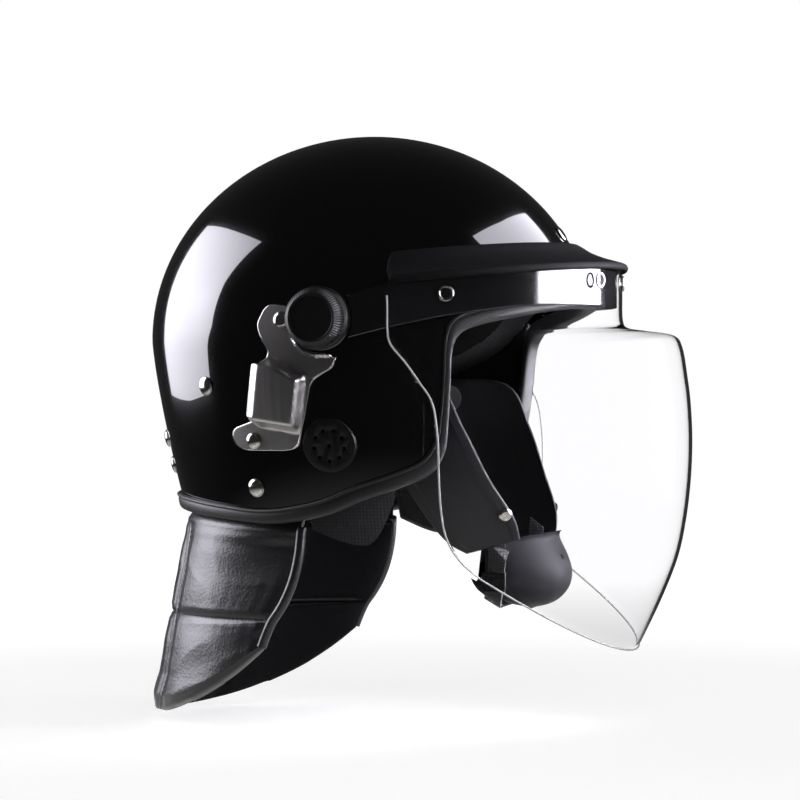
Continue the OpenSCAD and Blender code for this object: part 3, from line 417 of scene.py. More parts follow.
def trim_place(u, v):
    """A point of the channel: round the shell's edge by u, and round the section by v."""
    s, g = trim_profile[round(v * (len(trim_profile) - 1))]
    return edge_skin(shell_edge[round(u * (len(shell_edge) - 1))], s, g)


keep(surface(trim_place, len(shell_edge) - 1, len(trim_profile) - 1), "edge_channel", trim_rubber, "helmet",
     ["edge_trim"], 60)

# Impact liner
# Black expanded foam, moulded to the inside of the shell in one piece, its beads showing in the surface.
liner_gap = 1
liner_wall = 15
bead_width = 2.38
# Expanded foam: dull black beads pressed together, with painted shade in the gaps between them
liner_foam, tree, at = finish("black_foam_beads", "liner_foam", Base_Color=ink("#1b1b1c"), Roughness=0.85)
gaps = node(tree, "ShaderNodeTexVoronoi", {"Vector": at, "Scale": 1000 / bead_width},
            feature="DISTANCE_TO_EDGE").outputs["Distance"]
node(tree, "ShaderNodeBump", {"Height": gaps, "Strength": 0.5, "Distance": 0.0006}, "Normal")
# Painted shade: each bead's colour darkens from its middle towards the gaps
bead_gap_shade = node(tree, "ShaderNodeTexVoronoi", {"Vector": at, "Scale": 1000 / bead_width}).outputs["Distance"]
node(tree, "ShaderNodeMix", {0: bead_gap_shade, 6: ink("#222223"), 7: ink("#141415")}, "Base Color", data_type="RGBA")
liner_in = shell_wall + liner_gap + liner_wall
keep(bowl(liner_edge, -shell_wall - liner_gap, -liner_in), "foam_liner", liner_foam, "helmet",
     ["impact_liner"])


# Comfort band and crown pad
# Thin foam pads in black knitted cloth, sewn through into cells, stuck to the liner with hook tape.
pad_gap = 1.2
band_foam = 4
band_height = 26
band_cells = 14
crown_pad_foam = 9
crown_pad_radius = 45


def weave(tree, at, rib, depth):
    """Two crossed waves as a knit or weave in the bump, with ribs this many millimetres apart; returns their
    height for painted shade.
    """
    scale = 100 * math.pi / rib
    threads = [node(tree, "ShaderNodeTexWave", {"Vector": at, "Scale": scale, "Distortion": 0.6},
                    bands_direction=way).outputs["Fac"] for way in ("X", "Z")]
    crossed = node(tree, "ShaderNodeMath", {0: threads[0], 1: threads[1]}, operation="MULTIPLY").outputs[0]
    node(tree, "ShaderNodeBump", {"Height": crossed, "Strength": 0.5, "Distance": depth}, "Normal")
    return crossed


knit_rib = 1.963
# Knitted cloth: a soft black with a faint grey sheen. Its ribs are drawn coarser than a real 1 mm, to show
pad_cloth, tree, at = finish("black_knit", "pad_cloth", Base_Color=ink("#19191b"), Roughness=0.9,
                             Sheen_Weight=0.35, Sheen_Roughness=0.5, Sheen_Tint=ink("#8a8a92"))
knit_painted_shade = weave(tree, at, knit_rib, 0.0004)
# Painted light and shade: the knit's ribs lighter, the grooves between them darker
node(tree, "ShaderNodeMix", {0: knit_painted_shade, 6: ink("#141416"), 7: ink("#242428")}, "Base Color", data_type="RGBA")


def pillow(place, columns, rows, thick, low, plump, shut=""):
    """A pad on place(u, v, out): its back lies at low, and its front stands thick proud, by plump(u, v)."""
    def closed(u, v):
        front, t = there_and_back(v)
        return place(u, t, low + (thick * plump(u, t) if front else 0))
    return surface(closed, columns, 2 * rows, shut)


def band_place(u, t, g):
    """A point of the band, g in from the shell; the band runs round the head, high at the brow."""
    a = 360 * u
    return skin(a, 20 + 21 * math.cos(math.radians(a)) + band_height * (t - 0.5), -g)


def band_plump(u, t):
    """Round from edge to edge, with a sewn line between each two cells."""
    cell = abs(math.sin(math.pi * band_cells * u)) ** 0.35
    return 0.35 + 0.65 * math.sin(math.pi * t) ** 0.5 * (0.35 + 0.65 * cell)


pad_back = liner_in + pad_gap
band = keep(pillow(band_place, 280, 14, band_foam, pad_back, band_plump, "v"), "comfort_pad_band", pad_cloth,
            "helmet", ["comfort_band"])


def crown_place(u, t, g):
    """A point of the round crown pad, g in from the shell."""
    a, r = math.radians(360 * u), crown_pad_radius * t
    x, y = r * math.cos(a), r * math.sin(a)
    rise = math.sqrt(1 - (x / shell_half_length) ** 2 - (y / shell_half_width) ** 2)
    p = Vector((x, y, crown_height * rise))
    return p - g * outward(p)


def crown_plump(u, t):
    """Full out to the rim, with three sewn lines that meet in the middle."""
    spoke = 1 - 0.45 * math.exp(-((math.sin(math.pi * 3 * u) * t * 5) ** 2))
    return 0.12 + 0.88 * math.sqrt(max(0, 1 - t ** 4)) * spoke


pad = keep(pillow(crown_place, 96, 16, crown_pad_foam, pad_back, crown_plump), "crown_comfort_pad", pad_cloth,
           "helmet", ["crown_pad"])

# Ear pads
# Soft cheek and ear cushions in the same cloth, hung behind the harness anchors on each side.
sides = ((-1, "right"), (1, "left"))
ear_pad_foam = 9
ear_pad_back = 7.06
ear_pad_top = -31
ear_flap_depth = 121


def ear_drop(u):
    """How far down the cushion hangs, from its front end to its rear."""
    low = between(ear_flap_depth - 9, ear_flap_depth, math.sin(math.radians(180 * u ** 0.75)))
    return low - 24 * (max(0, 0.35 - u) / 0.35) ** 2


def ear_plump(u, t):
    """Fullest in the middle of the cushion, and thin all round its edge."""
    return 0.28 + 0.72 * (math.sin(math.pi * min(1, max(0, u))) * math.sin(math.pi * t)) ** 0.4


for side, hand in sides:
    def ear_place(u, t, g, side=side):
        p = skin(68 + 27 * u + 3 * math.sin(math.pi * t), between(ear_pad_top, -ear_drop(u), t), -g)
        return Vector((p.x, side * abs(p.y), p.z))

    pad = keep(pillow(ear_place, 40, 56, ear_pad_foam, ear_pad_back, ear_plump, "uv"), "ear_cushion_" + hand,
               pad_cloth, "helmet", ["ear_pad_" + hand])

# Neck guard
# Quilted pads under glossy black coated cloth, two rows sewn in panels, with rolled front edges and a lining
# of brushed cloth. It is riveted in the skirt.
guard_pad = 11
guard_seam = 4
guard_sink = 3
guard_seam_z = -163
guard_corner_z = -171
guard_depth = 224
guard_seam_turn = 27
guard_tuck = 7.2
roll_radius = 2.9
pebble_width, crease_width = 1.613, 11.1
# Coated cloth: a soft black gloss, broken by fine pebbles and by flat creases, with painted shade in the
# crease hollows
guard_leather, tree, at = finish("glossy_coated_cloth", "guard_leather", Base_Color=ink("#08080a"),
                                 Roughness=0.34)
pebbles = node(tree, "ShaderNodeTexVoronoi", {"Vector": at, "Scale": 1000 / pebble_width},
               feature="SMOOTH_F1").outputs["Distance"]
flat = node(tree, "ShaderNodeMapping", {"Vector": at, "Scale": (1, 1, 4)}).outputs[0]
creases_and_shade = node(tree, "ShaderNodeTexNoise", {
    "Vector": flat, "Scale": 1000 / crease_width, "Detail": 6, "Roughness": 0.6}).outputs["Fac"]
hide = node(tree, "ShaderNodeMath", {0: pebbles, 1: creases_and_shade, 2: 0.2}, operation="MULTIPLY_ADD").outputs[0]
node(tree, "ShaderNodeBump", {"Height": hide, "Strength": 0.4, "Distance": 0.0005}, "Normal")
# Painted shade: the cloth a little darker where the creases sink
node(tree, "ShaderNodeMix", {0: creases_and_shade, 6: ink("#070709"), 7: ink("#0f0f11")}, "Base Color",
     data_type="RGBA")
node(tree, "ShaderNodeMapRange", {"Value": creases_and_shade, "To Min": 0.28, "To Max": 0.4}, "Roughness")

# Heights with how far back the guard stands there, and shares of a panel with how full its padding is there
guard_reach = [(-226, 137), (-212, 136.5), (-200, 132.5), (-163, 126), (-139, 120.5), (-121, 117.3),
               (-106, 115.4), (-103, 114)]
guard_half = shell_half_width * crown_share(-nape_depth) - 2
upper_fill = [(0, 0), (0.16, 0), (0.24, 0.1), (0.34, 0.65), (0.5, 1), (0.8, 1), (0.93, 0.9), (0.98, 0.55),
              (1, 0)]
lower_fill = [(0, 0), (0.025, 0.5), (0.09, 0.85), (0.3, 1), (0.66, 1), (0.85, 0.9), (0.95, 0.6), (1, 0.1)]
rear_fill = [(0, 1), (0.3, 1), (0.6, 1), (0.82, 0.85), (0.95, 0.4), (1, 0)]
side_fill = [(0, 0), (0.04, 0.4), (0.14, 0.85), (0.3, 1), (0.46, 1), (0.62, 1), (0.77, 1), (0.89, 0.85),
             (0.96, 0.5), (1, 0)]


def guard_back(z):
    """How far back the guard's outer face is at a height."""
    for (z1, a1), (z0, a0) in zip(guard_reach, guard_reach[1:]):
        if z <= z0:
            return between(a1, a0, (z - z1) / (z0 - z1))
    return guard_reach[-1][1]


def guard_sheet(c, r):
    """The guard's outer face before its quilting: c runs -2 to 2 from edge to edge, r from 0 above to 2."""
    lower, v, k = r > 1, r - 1 if r > 1 else r, abs(c)
    front = between(guard_seam_z, guard_corner_z, v) if lower else between(-91, guard_seam_z, v)
    far = 180 - (97.5 + 10.5 * (max(0, -front - 91) / 80) ** 3.2)
    turn = between(guard_seam_turn, far, k - 1) if k > 1 else guard_seam_turn * k
    bottom = -guard_depth + (guard_depth + guard_corner_z) * (min(76, turn) / 76) ** 3.1
    top = skirt_line(180 - turn) + 10
    z = between(guard_seam_z, bottom, v) if lower else between(top, guard_seam_z, v)
    f = crown_share(z)
    tucked = table([(0.12, 1), (0.26, 0)], r)
    reach = between(guard_back(z), shell_half_length * f - guard_tuck, tucked)
    width = between(guard_half - 3 + 0.05 * (-103 - z), shell_half_width * f - guard_tuck, tucked)
    t = math.radians(turn)
    return Vector((-reach * math.cos(t), math.copysign(width * math.sin(t), c), z))


def guard_fill(c, r):
    """How full the padding is, from 0 in a seam or at an edge to 1 in the middle of a panel."""
    row = table(upper_fill, r) if r <= 1 else table(lower_fill, r - 1)
    column = table(rear_fill, abs(c)) if abs(c) <= 1 else table(side_fill, abs(c) - 1)
    return row * column


def pucker(c, r):
    """Gathers that run out from the cross seam and the two upright ones, and soft folds over the panels."""
    far, side = abs(r - 1), abs(abs(c) - 1)
    gathers = math.exp(-far / 0.16) * min(1, far * 9) * (0.5 + 0.5 * math.sin(67 * c + 3 * math.sin(7 * c)))
    gathers *= min(1, 0.25 + max(0, abs(c) - 1) * 4)
    upright = math.exp(-side / 0.1) * min(1, side * 16) * (0.5 + 0.5 * math.sin(31 * r + 2 * math.sin(5 * r)))
    fold = abs(noise.noise(Vector((1.3 * c + 0.8 * r, 1.1 * r - 0.5 * c, 0.4)) * 1.7)) ** 0.8
    dent = math.exp(-((abs(c) - 1.88) / 0.34) ** 2 - ((r - 0.45) / 0.33) ** 2)
    ripple = noise.noise(Vector((3 * c, 3 * r, 2)))
    return 0.15 * gathers + 0.3 * upright + 0.9 * fold + 4.5 * dent + 0.3 * ripple


def guard_place(u, v, more=0):
    """The guard's outer face and, for v past a half, its inner one, which can stand further in."""
    outer, down = there_and_back(v)
    c, r, step = 4 * u - 2, 2 * down, 0.02
    p = guard_sheet(c, r)
    east = guard_sheet(min(2, c + step), r) - guard_sheet(max(-2, c - step), r)
    south = guard_sheet(c, min(2, r + step)) - guard_sheet(c, max(0, r - step))
    out = east.cross(south).normalized()
    if out.x * -math.cos(0.8 * c) + out.y * math.copysign(1, c) * abs(math.sin(0.8 * c)) < 0:
        out = -out
    full = guard_fill(c, r)
    sunk = guard_sink * table([(0.14, 0), (0.3, 1)], r)
    creased = pucker(c, r) * full ** 0.5 * table([(0.22, 0), (0.4, 1)], r)
    if outer:
        return p - (sunk * (1 - full) + creased) * out
    return p - (between(guard_seam + sunk, guard_pad, full) + more) * out


def lining_place(u, v):
    """A thin sheet over the guard's inner face, from just inside it to just proud of it."""
    return guard_place(u, 0.5 + v, -0.3) if v < 0.5 else guard_place(u, 1.5 - v, 0.4)


guard = keep(surface(guard_place, 360, 200, "uv"), "quilted_guard", guard_leather, "helmet",
             ["neck_guard"], 70)
# Brushed cloth: a nap that gives back next to no light, kept near black partly as a real dark lining and
# partly as painted shade where the wearer's neck would shade the guard's inside
lining = finish("brushed_black_lining", "guard_leather", Base_Color=ink("#050506"), Roughness=0.95,
                Specular_IOR_Level=0.1)[0]
keep(surface(lining_place, 160, 80, "uv"), "guard_lining_shade", lining, "helmet")


def tube(path, radius, facets, up):
    """A round cord along a path, its ends drawn shut. The path never runs along the direction up."""
    def place(u, v):
        i = min(len(path) - 1, max(0, round(u * (len(path) + 1)) - 1))
        ahead = (path[min(i + 1, len(path) - 1)] - path[max(i - 1, 0)]).normalized()
        across = ahead.cross(Vector(up)).normalized()
        raised = across.cross(ahead)
        r = 0 if u < 1e-6 or u > 1 - 1e-6 else radius
        a = 2 * math.pi * v
        return path[i] + r * (math.cos(a) * across + math.sin(a) * raised)
    return surface(place, len(path) + 1, facets)


for side, hand in sides:
    edge = [guard_sheet(2 * side, r / 40) - Vector((0, side * (roll_radius + 0.5), 0)) for r in range(9, 80)]
    keep(tube(edge, roll_radius, 16, (1, 0, 0)), "rolled_edge_" + hand, guard_leather, "helmet")


def gathered(meshes):
    """Several meshes as one."""
    whole = bmesh.new()
    for mesh in meshes:
        data = bpy.data.meshes.new("part")
        mesh.to_mesh(data)
        mesh.free()
        whole.from_mesh(data)
        bpy.data.meshes.remove(data)
    return whole


def stitches(path, pitch, half_long, half_thick):
    """Small beads of thread laid along a path."""
    made, left = [], 0.0
    for a, b in zip(path, path[1:]):
        span = (b - a).length
        turn = (b - a).to_track_quat("X", "Z").to_matrix()
        while left < span:
            bead = bmesh.new()
            bmesh.ops.create_icosphere(bead, subdivisions=1, radius=1)
            for vertex in bead.verts:
                x, y, z = vertex.co
                lain = turn @ Vector((x * half_long, y * half_thick, z * half_thick))
                vertex.co = 0.001 * (a.lerp(b, left / span) + lain)
            made.append(bead)
            left += pitch
        left -= span
    return made


stitch_pitch, stitch_half, thread_half = 3.4, 1.4, 0.45
seams = [[guard_place(k / 240, 0.25) for k in range(8, 233)]] + [
    [guard_place(u, k / 240) for k in range(18, 118)] for u in (0.25, 0.75)]
# Waxed thread: a satin black, a little lighter than the cloth
thread = finish("waxed_black_thread", "webbing", Base_Color=ink("#1a1a1c"), Roughness=0.5)[0]
keep(gathered(sum((stitches(seam, stitch_pitch, stitch_half, thread_half) for seam in seams), [])),
     "guard_seam_stitches", thread, "helmet")

# Ear vents
# Moulded round plugs over the ears, each with nine small sound holes in its face.
mould_grain = 1.111
# Moulded nylon: a satin black from the fine texture of its mould
black_plastic, tree, at = finish("moulded_black_nylon", "black_plastic", Base_Color=ink("#09090b"),
                                 Roughness=0.42, Specular_IOR_Level=0.3)
fine = node(tree, "ShaderNodeTexNoise", {
    "Vector": at, "Scale": 1000 / mould_grain, "Detail": 3}).outputs["Fac"]
node(tree, "ShaderNodeBump", {"Height": fine, "Strength": 0.12, "Distance": 0.0002}, "Normal")
node(tree, "ShaderNodeMapRange", {"Value": fine, "To Min": 0.36, "To Max": 0.5}, "Roughness")


def refined(name, rounding):
    """A node's own mesh, joined up, with its sharp edges rounded."""
    mesh = bmesh.new()
    mesh.from_mesh(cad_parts[name].data)
    bmesh.ops.remove_doubles(mesh, verts=mesh.verts, dist=2e-6)
    bmesh.ops.dissolve_limit(mesh, angle_limit=math.radians(0.5), verts=mesh.verts, edges=mesh.edges)
    sharp = [e for e in mesh.edges if e.is_manifold and e.calc_face_angle(0) > math.radians(30)]
    bmesh.ops.bevel(mesh, geom=sharp, offset=rounding, affect="EDGES", segments=2, profile=0.5, material=-1,
                    clamp_overlap=True)
    return mesh


for _, hand in sides:
    keep(refined("ear_vent_" + hand, 0.0004), "vent_plug_" + hand, black_plastic, "helmet",
         ["ear_vent_" + hand])

# Mask brackets
# Stamped and bent from 1.5 mm stainless sheet, brushed, with a raised bridge that a mask strap hooks behind.
bracket_sheet = 1.5
bracket_out = 2.3
rim_radius = 0.55
pivot_x, pivot_z = 6, 10
lobe_radius = 19.5
brush_marks = 1.25, 25, 33.3
# Brushed stainless steel: a grey metal with upright lines, drawn coarser than a real 0.1 mm grit, to show
steel, tree, at = finish("brushed_stainless", "steel", Base_Color=ink("#b4b1b0"), Metallic=1, Roughness=0.3)
flow = node(tree, "ShaderNodeMapping", {
    "Vector": at, "Rotation": (0, 0.2, 0), "Scale": [1000 / mark for mark in brush_marks]}).outputs[0]
brushed = node(tree, "ShaderNodeTexNoise", {"Vector": flow, "Scale": 1, "Detail": 4}).outputs["Fac"]
node(tree, "ShaderNodeBump", {"Height": brushed, "Strength": 0.15, "Distance": 0.0002}, "Normal")
node(tree, "ShaderNodeMapRange", {"Value": brushed, "To Min": 0.24, "To Max": 0.42}, "Roughness")
# Stainless steel where the sheet's edge was rubbed down: smoother than its faces, and painted brighter as a
# highlight along the edge
rim_steel_highlight = finish("steel_edge_painted_highlight", "steel", Base_Color=ink("#d2cfcc"), Metallic=1, Roughness=0.2)[0]


def rounded(corners, steps=6):
    """An outline from (x, z, radius) corners, each turned in a curve that long."""
    made = []
    for i, (x, z, r) in enumerate(corners):
        p, before, after = (Vector(corners[k % len(corners)][:2]) for k in (i, i - 1, i + 1))
        reach = min(1.2 * r, 0.49 * (before - p).length, 0.49 * (after - p).length)
        a, b = p + (before - p).normalized() * reach, p + (after - p).normalized() * reach
        for k in range(steps + 1):
            t = k / steps
            made.append(a * (1 - t) ** 2 + p * 2 * t * (1 - t) + b * t * t)
    return made


def lobe_point(degrees):
    """A point on the round lobe under the knob."""
    a = math.radians(degrees)
    return Vector((pivot_x + lobe_radius * math.cos(a), pivot_z + lobe_radius * math.sin(a)))


bracket_outline = [lobe_point(degrees) for degrees in range(164, 280, 4)] + rounded([
    (13.5, -12.3, 0.5), (11.5, -17.2, 2), (5, -20.6, 4), (-1.5, -25, 4), (-10.8, -62.3, 5), (-18, -64, 3),
    (-45, -64, 6), (-52.5, -59.5, 3), (-52, -52.5, 4), (-40.5, -48.8, 2), (-36.5, -47.2, 1.5),
    (-36.3, -44.4, 0.6), (-37.6, -43, 1.2), (-33, -14.6, 1.2), (-28.8, -14.8, 0.8), (-25.6, -8.6, 1.5),
    (-31, 1, 2.5), (-33, 7, 3), (-27, 18.5, 5), (-14, 16.5, 1)])


def ease(x, low, high):
    """From 0 at low to 1 at high, without a corner at either."""
    t = min(1, max(0, (x - low) / (high - low)))
    return t * t * (3 - 2 * t)


bridge_x, bridge_z = -19.9, -31.5
bridge_lean = 9
bridge_rise = 9.3


def bracket_rise(x, z):
    """How far the sheet stands out: a leaning bridge open at the rear, and a rim under the knob."""
    ahead, up = Matrix.Rotation(math.radians(bridge_lean), 2) @ Vector((x - bridge_x, z - bridge_z))
    brow = 14.6 - 5 * ease(ahead, -4, 12)
    rise = bridge_rise * ease(-ahead, -15, -11.4) * ease(-up, -brow - 4, -brow) * ease(up, -22, -14.6)
    rise -= max(0, -11.2 - ahead) * 0.62
    r, a = math.hypot(x - pivot_x, z - pivot_z), math.degrees(math.atan2(z - pivot_z, x - pivot_x)) % 360
    return max(0, rise) + 1.8 * ease(21.6 - r, 0, 0.8) * ease(r, 19.4, 19.9) * ease(a, 208, 226)


def bracket_point(x, z, side):
    """A point of the bracket's outer face on the right, where side is -1, or the left."""
    p = skin(azimuth_at(x, z), z, bracket_out + bracket_rise(x, z))
    return Vector((p.x, side * p.y, p.z))


for side, hand in sides:
    # The flat outline is cut into 1 mm squares, given its back, and bent to its shape
    mesh = bmesh.new()
    face = mesh.faces.new([mesh.verts.new((p.x, 0, p.y)) for p in bracket_outline])
    face.normal_update()
    bmesh.ops.triangulate(mesh, faces=[face])
    for across, first, last in ((Vector((1, 0, 0)), -53, 14), (Vector((0, 0, 1)), -64, 19)):
        for k in range(first, last):
            bmesh.ops.bisect_plane(mesh, geom=mesh.verts[:] + mesh.edges[:] + mesh.faces[:], dist=1e-4,
                                   plane_co=(k + 0.02) * across, plane_no=across)
    bmesh.ops.remove_doubles(mesh, verts=mesh.verts, dist=0.05)
    outer, step = set(mesh.verts), 0.3
    bmesh.ops.extrude_face_region(mesh, geom=mesh.faces[:], use_keep_orig=True)
    for vertex in mesh.verts:
        x, z = vertex.co.x, vertex.co.z
        p = bracket_point(x, z, side)
        if vertex not in outer:
            across = bracket_point(x + step, z, side) - bracket_point(x - step, z, side)
            up = bracket_point(x, z + step, side) - bracket_point(x, z - step, side)
            n = across.cross(up).normalized()
            p -= bracket_sheet * (n if n.y * side > 0 else -n)
        vertex.co = 0.001 * p
    bmesh.ops.recalc_face_normals(mesh, faces=mesh.faces)
    keep(mesh, "strap_bracket_" + hand, steel, "helmet", ["mask_bracket_" + hand], 50)
    rim = []
    for a, b in zip(bracket_outline, bracket_outline[1:] + bracket_outline[:1]):
        steps = max(1, round((b - a).length / 0.6))
        rim += [a.lerp(b, k / steps) for k in range(steps)]
    path = [bracket_point(p.x, p.y, side) - Vector((0, 0.4 * side, 0)) for p in rim + rim[:1]]
    keep(tube(path, rim_radius, 10, (0.02, 1, 0.01)), "bracket_rounded_edge_" + hand, rim_steel_highlight, "helmet")

# Rivets
# Domed steel rivets hold the brackets, the fittings inside and the neck guard. Tubular ones hold the lens.
rivet_radius, bracket_rivet_radius, rivet_dome = 5.4, 4.7, 2.2
dull_width = 2
# Polished steel: nearly a mirror, dulled in small spots by handling
rivet_steel, tree, at = finish("polished_rivet_steel", "rivet_steel", Base_Color=ink("#c4c2bd"), Metallic=1,
                               Roughness=0.14)
dull = node(tree, "ShaderNodeTexNoise", {
    "Vector": at, "Scale": 1000 / dull_width, "Detail": 5}).outputs["Fac"]
node(tree, "ShaderNodeMix", {0: dull, 6: ink("#97958f"), 7: ink("#dedcd6")}, "Base Color", data_type="RGBA")
node(tree, "ShaderNodeMapRange", {"Value": dull, "To Min": 0.08, "To Max": 0.2}, "Roughness")


def turned(profile, centre, axis, segments=96, ribs=0, depth=0.0, ribbed=(0, 0)):
    """A body of revolution from (radius, height) points about an axis; ribs cut some of them into teeth."""
    facing = Vector(axis).to_track_quat("Z", "X").to_matrix()
    steps = 6 * ribs if ribs else segments

    def place(u, v):
        i = round(v * (len(profile) - 1))
        r, h = profile[i]
        a = 2 * math.pi * u
        if ribs and ribbed[0] <= i <= ribbed[1]:
            r -= depth * (0.5 + 0.5 * math.cos(ribs * a)) ** 0.6
        return Vector(centre) + facing @ Vector((r * math.cos(a), r * math.sin(a), h))
    return surface(place, steps, len(profile) - 1)


def rivet(centre, axis, radius, dome):
    """A rivet's head: a low dome with a thin flat brim."""
    profile = [(0, 0), (radius, 0), (radius, 0.45), (radius - 0.15, 0.6)] + [
        ((radius - 0.5) * math.cos(t), 0.65 + (dome - 0.65) * math.sin(t)) for t in
        [math.radians(9 * k) for k in range(11)]]
    return turned(profile, centre, axis, 48)


def eyelet(centre, axis):
    """A tubular rivet: a rolled ring round an open middle."""
    turns = [math.radians(degrees) for degrees in range(0, 361, 30)]
    return turned([(3.9 + 0.8 * math.cos(t), 0.55 + 0.75 * math.sin(t)) for t in turns], centre, axis, 48)


def on_sides(places, out, radius):
    """Rivets on both sides, at (azimuth, height) places this far out from the shell."""
    made = []
    for azimuth, z in places:
        p = skin(azimuth, z, out)
        n = outward(skin(azimuth, z, 0))
        for side in (1, -1):
            made.append(rivet((p.x, side * p.y, p.z), (n.x, side * n.y, n.z), radius, rivet_dome))
    return made


bracket_spots = [(azimuth_at(-18, 9.4), 9.4), (azimuth_at(-38.5, -58.9), -58.9)]
shell_spots = [(azimuth_at(-40.5, -86.5), -86.5), (azimuth_at(-72, -28), -28), (163.5, -59), (166.4, -75)]
seat = 0.3
keep(gathered(on_sides(bracket_spots, bracket_out + seat, bracket_rivet_radius)), "bracket_rivet_heads",
     rivet_steel, "helmet", ["bracket_rivets"], 50)
brow_rivet = rivet(skin(0, 62, seat), outward(skin(0, 62, 0)), rivet_radius, 1.4)
keep(gathered(on_sides(shell_spots, seat, rivet_radius) + [brow_rivet]), "shell_rivet_heads", rivet_steel,
     "helmet", ["shell_rivets"], 50)
lens_half_length, lens_half_width = 151, 120
band_top = 41
heads = []
for side in (1, -1):
    for azimuth in (14, 60):
        a = math.radians(azimuth)
        x, y = math.cos(a), side * math.sin(a)
        spot = (lens_half_length * x, lens_half_width * y, band_top - 7 - 20 * (1 - x))
        heads.append(eyelet(spot, (x / lens_half_length, y / lens_half_width, 0)))
keep(gathered(heads), "visor_rivet_heads", rivet_steel, "visor", ["visor_rivets"], 50)

# Visor lens
# One sheet of clear polycarbonate, moulded to an upright band, a ledge and a deep bubble. Its edges are
# polished, and four tubular rivets hold it to the frame.
lens_drawn = 2
edge_bead = 0.55
# Clear polycarbonate: all but unseen. Its two faces are so near each other that they shift what is behind
# them by almost nothing. So it is drawn 2 mm thick with an index near 1, and its bright edge is a bead of its
# own with the light painted in
clear_lens = finish("clear_polycarbonate", "clear_lens", Base_Color=(0.995, 0.99, 0.998, 1),
                    Roughness=0, Transmission_Weight=1, IOR=1.025)[0]
# Levels down the lens: height at the front, height at the rear edges, the arc's middle, its reach, its half
# width, and where it ends at the rear
lens_levels = [
    (41, 30, 0, 151, 120, 43.5), (26, 19, 0, 151, 120, 44.5), (11, 7, 0, 151.4, 120, 44.5),
    (6.5, 2, 4, 155, 120, 45), (4.5, -2, 25, 167, 120, 46.5), (2, -7, 52, 182, 120, 49.5),
    (-5, -15, 58, 187, 119.5, 56.5), (-22, -26, 60, 190, 119.2, 64.5), (-38, -38, 60, 192, 118.8, 72),
    (-60, -58, 60, 193, 118.5, 75), (-84, -80, 60, 192, 118, 75.5), (-108, -99, 60, 189, 117, 76.5),
    (-130, -114, 60, 184, 115, 79), (-155, -127, 60, 174, 110, 85.5), (-182, -137, 60, 161, 102, 94)]
lens_smooth = smooth(lens_levels, 6)


def lens_place(u, v):
    """The lens's outer face for v to 0.5 and its inner face on the way back."""
    outer, t = there_and_back(v)
    high, low, middle, reach, width, edge = pair(lens_smooth, t)
    thin = 0 if outer else lens_drawn
    a, b = reach - middle - thin, width - thin
    full = math.acos((edge - middle) / (reach - middle))
    turn = (2 * u - 1) * full
    fall = (1 - math.cos(turn)) / (1 - math.cos(full))
    return Vector((middle + a * math.cos(turn), b * math.sin(turn), between(high, low, fall)))


def filled(mesh):
    """A mesh with its open ends closed."""
    bmesh.ops.holes_fill(mesh, edges=[e for e in mesh.edges if e.is_boundary], sides=0)
    bmesh.ops.recalc_face_normals(mesh, faces=mesh.faces)
    return mesh


lens = keep(filled(surface(lens_place, 150, 2 * 84)), "clear_visor", clear_lens, "visor", ["visor_lens"], 50)
lens.visible_shadow = False
# Polycarbonate's polished edge: the light gathered in the sheet is painted in as a pale grey line
lens_edge_light = finish("painted_lens_edge_light", "clear_lens", Base_Color=ink("#b9b4b6"), Roughness=0.25)[0]
down, along_bottom = [t / 160 for t in range(4, 80)], [k / 150 for k in range(151)]
edge = ([lens_place(0, v) for v in down] + [lens_place(u, 0.5 - 1e-6) for u in along_bottom] +
        [lens_place(1, v) for v in reversed(down)])
keep(tube(edge, edge_bead, 10, (0.3, 0.1, 1)), "lens_edge_light_bead", lens_edge_light, "visor")

# Visor frame
# A black moulded band behind the lens's upper edge, which runs back to round hubs on the pivots.
frame_wall = 3
frame_half_length = 144.7
visor_edge_x, arm_x = 44.5, 21.5
band_bottom = 18.5
spacer = 1.7
gloss_width = 3.33
# Hard plastic from a polished mould: a black mirror with the least of ripples
frame_plastic, tree, at = finish("glossy_black_plastic", "frame_plastic", Base_Color=ink("#08080a"),
                                 Roughness=0.1, Specular_IOR_Level=1)
fine = node(tree, "ShaderNodeTexNoise", {
    "Vector": at, "Scale": 1000 / gloss_width, "Detail": 4}).outputs["Fac"]
node(tree, "ShaderNodeBump", {"Height": fine, "Strength": 0.02, "Distance": 0.0002}, "Normal")
node(tree, "ShaderNodeMapRange", {"Value": fine, "To Min": 0.06, "To Max": 0.14}, "Roughness")
hub_in = skin(azimuth_at(pivot_x, pivot_z), pivot_z, 0).y + spacer + seat


def frame_high(x):
    """The height of the frame's top edge, which falls from the brow to the rear end of the arm."""
    if x > visor_edge_x:
        return between(30, band_top, (x - visor_edge_x) / (frame_half_length - visor_edge_x))
    return between(23, 30, (x - arm_x) / (visor_edge_x - arm_x))


def frame_low(x):
    """The height of its lower edge, which falls the more the further back it is."""
    if x > visor_edge_x:
        return between(band_bottom, 5, max(0, 1 - (x - visor_edge_x) / 75) ** 1.3)
    return between(-1, 5, (x - arm_x) / (visor_edge_x - arm_x))


frame_section = [(0, frame_wall), (0.02, frame_wall), (0.5, frame_wall), (0.98, frame_wall), (1, frame_wall),
                 (1, 0), (0.5, 0), (0, 0), (0, frame_wall)]


def frame_place(u, v):
    """A point of the frame, from its right arm round the brow to its left one, by u."""
    share, out = frame_section[round(v * (len(frame_section) - 1))]
    turn = (2 * u - 1) * math.acos(arm_x / frame_half_length)
    x = frame_half_length * math.cos(turn)
    return Vector(((frame_half_length + out) * math.cos(turn), (hub_in + out) * math.sin(turn),
                   between(frame_high(x), frame_low(x), share)))


